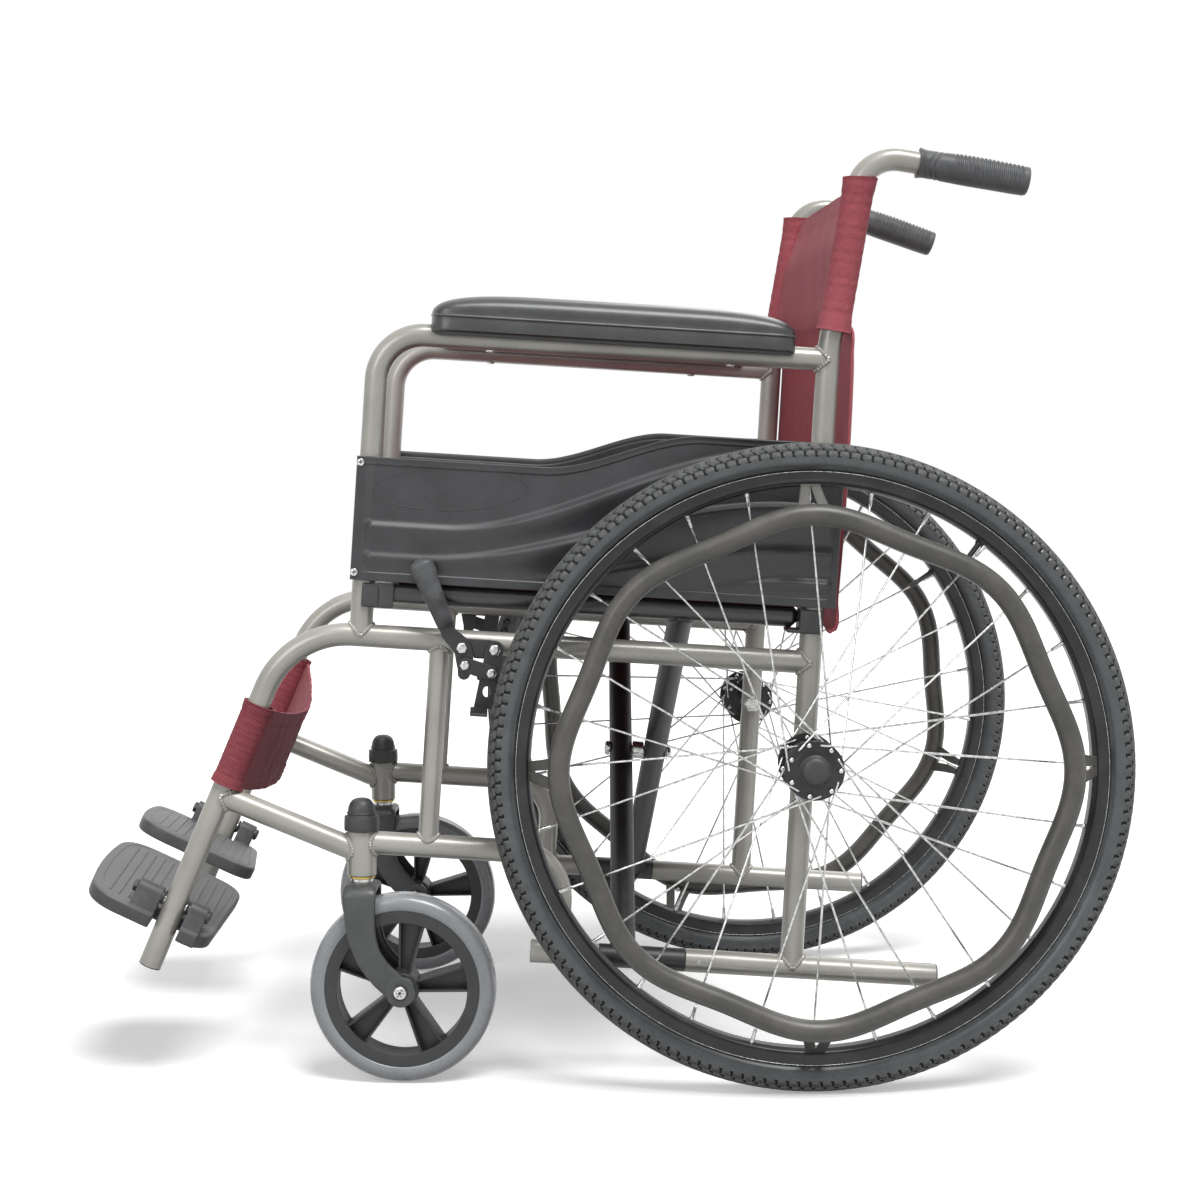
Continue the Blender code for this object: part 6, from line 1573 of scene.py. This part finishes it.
for side, sign in sides.items():
    x, half, middle = sign * frame_x, (pad_rear_a - pad_front_a) / 2, (pad_rear_a + pad_front_a) / 2
    t = np.sin(np.linspace(-math.pi / 2, math.pi / 2, 160)) * 0.9995
    width = pad_width(t)[:, None]
    crown = (pad_crown * (1 - 0.995 * np.abs(t) ** 5) ** 0.42)[:, None]
    u = np.linspace(0, math.pi, 40)[None, 1:-1]
    dome = np.sin(u) ** 0.62
    cross = width * np.sign(np.cos(u)) * np.abs(np.cos(u)) ** 0.9
    tuck = 0.0035
    side_b = np.array([0.0, 0.0004, 0.0014, pad_band - 0.0012, pad_band - 0.0003])
    side_in = np.array([tuck, 0.0012, 0.0, 0.0002, 0.0009])
    wall = np.maximum(width - side_in, 0.0002)
    offset = np.concatenate([wall, cross * (1 - 0.0010 / pad_half), -wall[:, ::-1]], axis=1)
    rise = np.broadcast_to(side_b, wall.shape)
    height = np.concatenate([rise, pad_band + crown * dome, rise[:, ::-1]], axis=1)
    cover = skin(place(middle + half * t[:, None], pad_base_b + height, x + offset))
    pad = piece(
        f"arm_pad_{side}", [cover], f"{side}_frame", pad_vinyl, "pad_vinyl", [f"armrest_pad_{side}"]
    )
    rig.padded(pad, 0.9)
    edge = np.stack([middle + half * t, pad_width(t)], axis=-1)
    edge = np.concatenate([edge, edge[-2:0:-1] * [1, -1]])
    welt = place(edge[:, 0], pad_base_b + pad_band - 0.0004, x + edge[:, 1])
    skins = [skin(swept(welt, 0.0011, 10, up_rails, loop=True), loop=True)]
    board = place(middle + (edge[::3, 0] - middle) * 0.982, 0, x + edge[::3, 1] * 0.86)
    low, high = up_rails * (pad_base_b - 0.0028), up_rails * (pad_base_b + 0.0006)
    skins.append(skin(plate(board, low, high, 0.0005), finish=1))
    piece(f"pad_welt_{side}", skins, f"{side}_frame", [welt_vinyl, black_plastic], "pad_vinyl")
    under = armrest_rail_b - tube_r + 0.0006
    skins = [head(place(a, under, x), -up_rails, 0.0052, 0.0022, dome=0.8) for a in (-0.325, -0.093)]
    piece(f"pad_screws_{side}", skins, f"{side}_frame", zinc, "zinc")

# Upholstery
# Slings of woven burgundy nylon. The seat is screwed to the seat tubes, and the back and the calf strap end
# in sleeves that slide over the canes and the hangers. Each hem is sewn down with two rows of stitches.
seat_sag, seat_edge_x, cloth, sleeve_cloth = 0.018, 0.237, 0.003, 0.0022
back_bottom_b, back_sleeve_b, back_top_b = 0.125, 0.4135, 0.5560
back_sag, back_fold, back_slack, sleeve_side = 0.026, 0.0010, 0.0115, 0.0125
calf_from, calf_to, calf_sag = 0.190, 0.272, 0.030
seat_front, seat_rear = seat_tube_front_a + 0.002, seat_tube_rear_a - 0.002
seat_run, back_run, calf_run = seat_rear - seat_front, back_top_b - back_bottom_b, calf_to - calf_from
screw_count, screw_inset = 6, 0.030
screw_gap = (seat_run - 2 * screw_inset) / (screw_count - 1)


def woven(dark, light):
    """Coarse nylon: a checked weave on the piece's own UV in metres, pale thread tops and soft fading."""

    def surface(wire):
        pitch = 0.0024
        spot = wire.node("ShaderNodeTexCoord", output="UV")
        axes = wire.node("ShaderNodeSeparateXYZ", None, {"Vector": spot}).socket.node
        ways = (Wire(wire.tree, axes.outputs[name]) for name in "XY")
        warp, weft = (wire.maths("SINE", way * (math.tau / pitch)) for way in ways)
        knot = (warp * weft) * 0.5 + 0.5
        fade, slub = noise(wire, 9, 4.0), noise(wire, 240, 2.0)
        colour = (knot * 0.6 + fade * 0.25 + slub * 0.15).step(0.25, 0.75)
        return {
            "Base Color": colour.mix(dark, light),
            "Roughness": knot * -0.10 + 0.72,
            "Normal": (knot * 0.75 + slub * 0.25).bump(0.00025, 0.55),
        }

    return surface


cloth_sheen = {"Sheen_Weight": 0.04, "Sheen_Roughness": 0.45, "Specular_IOR_Level": 0.15}
back_cloth = finish("burgundy_nylon", woven(paint(138, 58, 68), paint(210, 118, 127)), **cloth_sheen)
seat_cloth = finish("burgundy_seat_nylon", woven(paint(108, 45, 53), paint(178, 96, 104)), **cloth_sheen)


def thread_surface(wire):
    """Twisted sewing thread, a shade paler than the cloth."""
    twist = noise(wire, 2500, 1.0)
    return {
        "Base Color": twist.mix(paint(150, 72, 80), paint(196, 120, 124)),
        "Roughness": twist * 0.15 + 0.55,
    }


thread = finish("burgundy_thread", thread_surface)


def stitches(path, normals, pitch=0.0042, length=0.0030, width=0.00042):
    """A row of stitches along a path: each is eight faces over p +- length, +- width across, +- width up."""
    path, normals = np.asarray(path, float), np.broadcast_to(normals, np.shape(path))
    d = lengths(path)
    at = np.arange(pitch, d[-1] - pitch, pitch)
    p, up = (np.stack([np.interp(at, d, v[:, k]) for k in range(3)], axis=-1) for v in (path, normals))
    ahead = unit(np.stack([np.gradient(p[:, k]) for k in range(3)], axis=-1))
    across = unit(np.cross(up, ahead))
    up = np.cross(ahead, across)
    reach = (ahead * length / 2, across * width, up * width)
    six = np.stack([p + way * e for way in reach for e in (-1, 1)], axis=1)
    faces = [(1, 3, 5), (3, 0, 5), (0, 2, 5), (2, 1, 5), (3, 1, 4), (0, 3, 4), (2, 0, 4), (1, 2, 4)]
    every = (np.arange(len(p))[:, None, None] * 6 + np.array(faces)).reshape(-1, 3)
    return six.reshape(-1, 3), every.tolist(), np.zeros((len(every) * 3, 2)), np.full(len(every), 1)


def creases(u, v):
    """Small creases: two pairs of crossing sine waves and two finer waves, each weaker than the last."""
    waves = 0.45 * np.sin(7.3 * u + 3.1 * v + 0.6) * np.sin(2.9 * v - 1.7 * u)
    waves += 0.3 * np.sin(13.1 * u - 5.3 * v + 1.9) * np.sin(4.1 * v + 0.8)
    return waves + 0.18 * np.sin(23.0 * u + 11.0 * v) + 0.08 * np.sin(41.0 * v - 17.0 * u)


def hem_rise(distance, width, height=0.0009):
    """The doubled cloth within this width of an edge, with a dip where it is sewn down."""
    fold = height * (1 - smooth(distance, width, width + 0.0020))
    return fold - 0.6 * height * np.exp(-(((distance - width + 0.0030) / 0.0012) ** 2))


def sleeve_skin(line, inner, reference, loose=0.0, flare=0.0, skew=0.0):
    """A cloth tube open at both ends, from its outside round to its inside, loose on the reference side.

    skew tilts the top end: its loose side stands that much higher than the middle.
    """
    s = np.linspace(0, 1, len(line))[:, None]
    t = np.linspace(0, math.tau, 72, endpoint=False)[None, :]
    slack = loose * np.clip(np.cos(t), 0, 1) ** 2
    rim = flare * (np.exp(-(s / 0.05)) + np.exp(-((1 - s) / 0.05)))
    wrinkle = 0.00045 * creases(9 * s, 2 * np.sin(t))
    outside = inner + sleeve_cloth + slack + rim + wrinkle
    hem = 0.0007 * (np.exp(-((s / 0.10) ** 4)) + np.exp(-(((1 - s) / 0.10) ** 4)))
    outer = swept(line, outside + hem, 72, reference)
    inside = swept(line, np.maximum(outside - sleeve_cloth + 0.0004, inner), 72, reference)
    tilted = unit(line[-1] - line[0]) * (skew * s**4 * np.cos(t))[..., None]
    outer, inside = outer + tilted, inside + tilted
    return skin(np.concatenate([outer, inside[::-1]]), loop=True)


def seat_sheet(u, v):
    """Underside and thickness of the seat, which sags, bends over the tubes and is drawn up at the screws."""
    x = seat_edge_x * u
    a = (seat_front + seat_rear) / 2 + seat_run / 2 * v
    a = a + 0.010 * smooth(np.abs(x), frame_x - 0.006, seat_edge_x) * smooth(-v, 0.90, 1.0)
    over_tube = seat_tube_r + 0.0005
    droop = seat_sag * (1 - np.abs(u) ** 2.4) * (1 - 0.25 * v * v)
    past = np.clip(np.abs(x) - frame_x, 0, None)
    droop = np.maximum(droop, over_tube - np.sqrt(over_tube**2 - past**2))
    screws = np.cos(math.pi * (a - seat_front - screw_inset) / screw_gap) ** 2
    pull = np.exp(-(((1 - np.abs(u)) / 0.10) ** 2)) * screws * (past == 0)
    b = seat_tube_b + over_tube - droop + 0.0011 * creases(2.2 * u, 1.6 * v) * (1 - u**6) + 0.0006 * pull
    from_side, from_end = seat_edge_x - np.abs(x), (1 - np.abs(v)) * seat_run / 2
    return place(a, b, x), cloth + hem_rise(from_side, 0.030) + hem_rise(from_end, 0.018)


def back_sheet(u, v):
    """Front face and thickness of the back: slack behind the canes, then taut between the sleeves."""
    crown = 0.006 * (1 - u * u) * v**4
    b = back_bottom_b + back_run * v + crown
    sag = back_sag * (1 - u * u) * (0.55 + 0.45 * v) * (1 - 0.88 * smooth(v, 0.58, 1.0))
    fold = back_fold * np.sin(2.5 * math.pi * u + 0.9 * v) ** 2 * (1 - u * u) * (1 - 0.6 * v**6)
    under = np.clip((b - back_bottom_b) / (back_sleeve_b + 0.012 - back_bottom_b), 0, 1)
    slack = back_slack * (0.65 + 0.35 * u) * np.sin(math.pi * under) ** 0.2
    ruffle = 0.0018 * np.sin(2.1 * u + 1.7 * v + 0.4) * np.sin(3.3 * v + 0.5) + 0.0006 * np.sin(5 * u - 4 * v)
    gather = 0.0040 * np.exp(-((v / 0.05) ** 2)) * np.abs(u) ** 12
    sleeved = smooth(b, back_sleeve_b - 0.034 * (1 - u**6), back_sleeve_b + 0.034)
    rest = (tube_r + 0.0005) * (1 - sleeved) + (0.0085 * smooth(v, 0.86, 1) - 0.005) * sleeved
    away = rest + sag + slack - fold + np.maximum(ruffle, -0.002) + 0.002 * (1 - u * u) + gather
    lean = np.clip(b - cane_bend_b, 0, None) * math.tan(cane_lean)
    rise = hem_rise((1 - v) * back_run, 0.022) + hem_rise(v * back_run, 0.022)
    inwards = smooth(b, back_sleeve_b - 0.006, back_sleeve_b + 0.012)
    reach = frame_x + 0.006 - (0.006 + sleeve_side) * inwards
    return place(lean + away, b, reach * u), cloth - 0.0008 + rise


def calf_sheet(u, v):
    """Front face and thickness of the calf strap, which hangs back with a fold down its middle."""
    from_foot = calf_from + calf_run * v - 0.004 * (1 - u * u) * (1 - 2 * v) ** 2
    start = on_hanger(from_foot, frame_x * u)
    hang = unit(behind_hanger + place(0, -0.6) - place(0, 0))
    peak = 0.65 * (1 - u * u) + 0.35 * (1 - np.sqrt(u * u + 0.004))
    out = tube_r + 0.0006 + 0.0012 * creases(3.1 * u, 1.2 * v) * (1 - u * u)
    rise = hem_rise((1 - v) * calf_run, 0.014) + hem_rise(v * calf_run, 0.014)
    return start + behind_hanger * out[..., None] + hang * (calf_sag * peak)[..., None], 0.0022 + rise


def sewn(sheet, lines, side):
    """Rows of stitches along (u, v) lines of a sheet: side is 1 for its thick face and 0 for the other."""
    rows = []
    for start, end in lines:
        share = np.linspace(0, 1, 160)
        u, v = (p + (q - p) * share for p, q in zip(start, end))
        points, thickness = sheet(u, v)
        beside, _ = sheet(u + 0.004 * (end[1] != start[1]), v + 0.004 * (end[0] != start[0]))
        normal = unit(np.cross(points - np.roll(points, 1, 0), beside - points))
        normal[0] = normal[1]
        normal *= np.sign((normal * faces_up[sheet]).sum(1, keepdims=True))
        lift = thickness * side + 0.0001 * (2 * side - 1)
        rows.append(stitches(points + normal * lift[:, None], normal))
    return rows


hanger_turn = np.cross(x_axis, up_hanger)
behind_hanger = hanger_turn * np.sign(hanger_turn[1])
faces_up = {seat_sheet: up_rails, back_sheet: along_rails, calf_sheet: behind_hanger}
slings = {}
for name, sheet, counts, body, node, run, hem in (
    ("seat_sling", seat_sheet, (161, 121), None, "seat_upholstery", seat_run, 0.016),
    ("back_sling", back_sheet, (161, 131), "right_frame", "back_upholstery", back_run, 0.019),
    ("calf_sling", calf_sheet, (121, 41), "right_frame", "calf_strap", calf_run, 0.011),
):
    low = -1 if sheet is seat_sheet else 0
    u, v = np.meshgrid(np.linspace(-1, 1, counts[0]), np.linspace(low, 1, counts[1]))
    points, thickness = sheet(u, v)
    way = np.cross(np.gradient(points, axis=0), np.gradient(points, axis=1)).sum((0, 1)) @ faces_up[sheet]
    skins = [slab(points, thickness * np.sign(way))]
    edge = (1 - low) * hem / run
    lines = [((-0.93, w), (0.93, w)) for w in (low + edge, low + 0.72 * edge, 1 - edge, 1 - 0.72 * edge)]
    if sheet is seat_sheet:
        beside = [e * (1 - inset / seat_edge_x) for e in (-1, 1) for inset in (0.021, 0.027)]
        lines += [((w, -0.95), (w, 0.95)) for w in beside]
    skins += sewn(sheet, lines, 1) + sewn(sheet, lines, 0)
    face = back_cloth if sheet is back_sheet else seat_cloth
    slings[name] = piece(name, skins, body, [face, thread], "burgundy_nylon", [node], sharp=60)

seat_ends = [tuple(place(-0.2, seat_tube_b, sign * seat_edge_x)) for sign in (1, -1)]
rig.blend(slings["seat_sling"], "brace_a", "brace_b", start=seat_ends[0], end=seat_ends[1])
folded_width = 0.273
for name, half in (("back_sling", frame_x - sleeve_side), ("calf_sling", frame_x)):
    spot, share = (-half, 0.0, 0.5), 1 - (1 - folded_width) * frame_x / half
    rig.squash(slings[name], "fold", axis=(1, 0, 0), anchor=spot, keep=share)

sleeves = {"back": [], "calf": []}
for side, sign in sides.items():
    x = sign * frame_x
    b = np.linspace(back_sleeve_b, back_top_b + 0.0070, 90)
    line = place((b - cane_bend_b) * math.tan(cane_lean), b, x)
    skins = [sleeve_skin(line, tube_r + 0.0004, along_rails, loose=0.0028, flare=0.0010, skew=0.0019)]
    sleeve = piece(f"back_sleeve_{side}", skins, f"{side}_frame", back_cloth, "burgundy_nylon", sharp=60)
    sleeves["back"].append(sleeve)
    line = on_hanger(np.linspace(calf_from - 0.001, calf_to + 0.001, 60), x)
    skins = [sleeve_skin(line, tube_r + 0.0004, behind_hanger, loose=0.0030, flare=0.0006)]
    sleeve = piece(f"calf_sleeve_{side}", skins, f"{side}_frame", seat_cloth, "burgundy_nylon", sharp=60)
    sleeves["calf"].append(sleeve)

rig.sheet(
    slings["seat_sling"], flat=(0.478, 0.394), held="stretched", rests_on=["brace_tube_a", "brace_tube_b"]
)
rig.sheet(
    slings["back_sling"], flat=(0.490, 0.432), held="stretched", rests_on=["cane_left", "cane_right"],
    with_pieces=sleeves["back"],
)
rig.sheet(
    slings["calf_sling"], flat=(0.470, 0.084), held="stretched", rests_on=["hanger_left", "hanger_right"],
    with_pieces=sleeves["calf"],
)

cup = [(0.0, 0.0062), (0.0006, 0.0060), (0.0015, 0.0040), (0.0010, 0.0022)]
for side, body in (("left", "brace_a"), ("right", "brace_b")):
    skins = []
    for k in range(screw_count):
        from_front = (screw_inset + screw_gap * k) / seat_run
        spot, _ = seat_sheet(np.array(sides[side] * frame_x / seat_edge_x), np.array(2 * from_front - 1))
        spot = spot + up_rails * (cloth + 0.0007)
        skins.append(spun(cup, spot, up_rails, 32, 0.0002))
        skins.append(head(spot + up_rails * 0.0008, up_rails, 0.0034, 0.0012, dome=0.8))
    piece(f"seat_screws_{side}", skins, body, zinc, "zinc")

# Studio
# A floor and a surround that are white to the camera and in reflections, and greyer in the light that they
# throw back. A wide sun overhead is the key, with a weak lamp on the camera's side and one on the far side.
white = bpy.data.worlds.new("studio_surround")
bpy.context.scene.world = white
white.use_nodes = True
sky = white.node_tree


def seen(wire):
    """1 for what the camera, a reflection or a pane shows, and 0 for light that a surface scatters."""
    rays = wire.node("ShaderNodeLightPath", output="Is Camera Ray").socket.node
    names = ("Is Camera Ray", "Is Glossy Ray", "Is Transmission Ray")
    camera_ray, glossy_ray, clear_ray = (Wire(wire.tree, rays.outputs[name]) for name in names)
    return wire.maths("MINIMUM", camera_ray + glossy_ray + clear_ray, 1.0)


sky.links.new((seen(Wire(sky)) * 0.74 + 0.26).socket, sky.nodes["Background"].inputs["Strength"])
sky.nodes["Background"].inputs["Color"].default_value = (1, 1, 1, 1)

floor_mesh = bpy.data.meshes.new("floor")
corners = [(x, y, -0.001) for x, y in ((-6, -6), (6, -6), (6, 6), (-6, 6))]
floor_mesh.from_pydata(corners, [], [(0, 1, 2, 3)])
floor = bpy.data.objects.new("floor", floor_mesh)
bpy.context.scene.collection.objects.link(floor)


def pale_floor(wire):
    """White sweep for the eye, mid grey for scattered light, with a little glow so that only shadow shows."""
    shown = seen(wire)
    return {
        "Base Color": shown.mix(paint(104, 104, 104), paint(250, 250, 250)),
        "Roughness": noise(wire, 40, 2.0) * 0.1 + 0.8,
        "Emission Color": shown.mix(paint(0, 0, 0), paint(152, 152, 152)),
    }


sweep_white = finish("floor_white", pale_floor, Emission_Strength=1.0, Specular_IOR_Level=0.0)
floor_mesh.materials.append(sweep_white)
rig.stage(floor)


def lamp(name, spot, target, size, power):
    """A square soft lamp that faces its target."""
    light = bpy.data.lights.new(name, "AREA")
    light.shape, light.size, light.energy = "SQUARE", size, power
    obj = bpy.data.objects.new(name, light)
    bpy.context.scene.collection.objects.link(obj)
    way = np.asarray(target, float) - np.asarray(spot, float)
    flat = math.hypot(way[0], way[1])
    rise, heading = math.atan2(way[2], flat), math.atan2(way[1], way[0])
    obj.rotation_euler = (math.pi / 2 + rise, 0, heading - math.pi / 2)
    obj.location = spot


lamp("front", (3.0, -1.9, 2.0), (0, 0, 0.4), 1.6, 34)
lamp("behind", (-2.6, 1.2, 2.4), (0, 0, 0.5), 2.0, 22)
sun = bpy.data.lights.new("overhead", "SUN")
sun.energy, sun.angle = 2.7, math.radians(28)
overhead = bpy.data.objects.new("overhead", sun)
bpy.context.scene.collection.objects.link(overhead)
overhead.rotation_euler = (math.radians(-12), math.radians(24), 0)

camera_data = bpy.data.cameras.new("camera")
camera = bpy.data.objects.new("camera", camera_data)
bpy.context.scene.collection.objects.link(camera)
bpy.context.scene.camera = camera
camera_roll = 0.00878
camera.location = (2.5122, axle_y - 0.2998, 0.6325)
camera.rotation_euler = (math.pi / 2, camera_roll, math.pi / 2)
camera_data.lens, camera_data.sensor_width = 70.94, 36
camera_data.shift_x, camera_data.shift_y = 0.0917, -0.1483

bpy.context.scene.view_settings.view_transform = "Standard"

with open("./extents.json", "w") as sizes:
    json.dump({"solid": [list(map(float, corner)) for corner in solid_box], "dressed": [list(map(float, corner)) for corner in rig.bounds()]}, sizes)
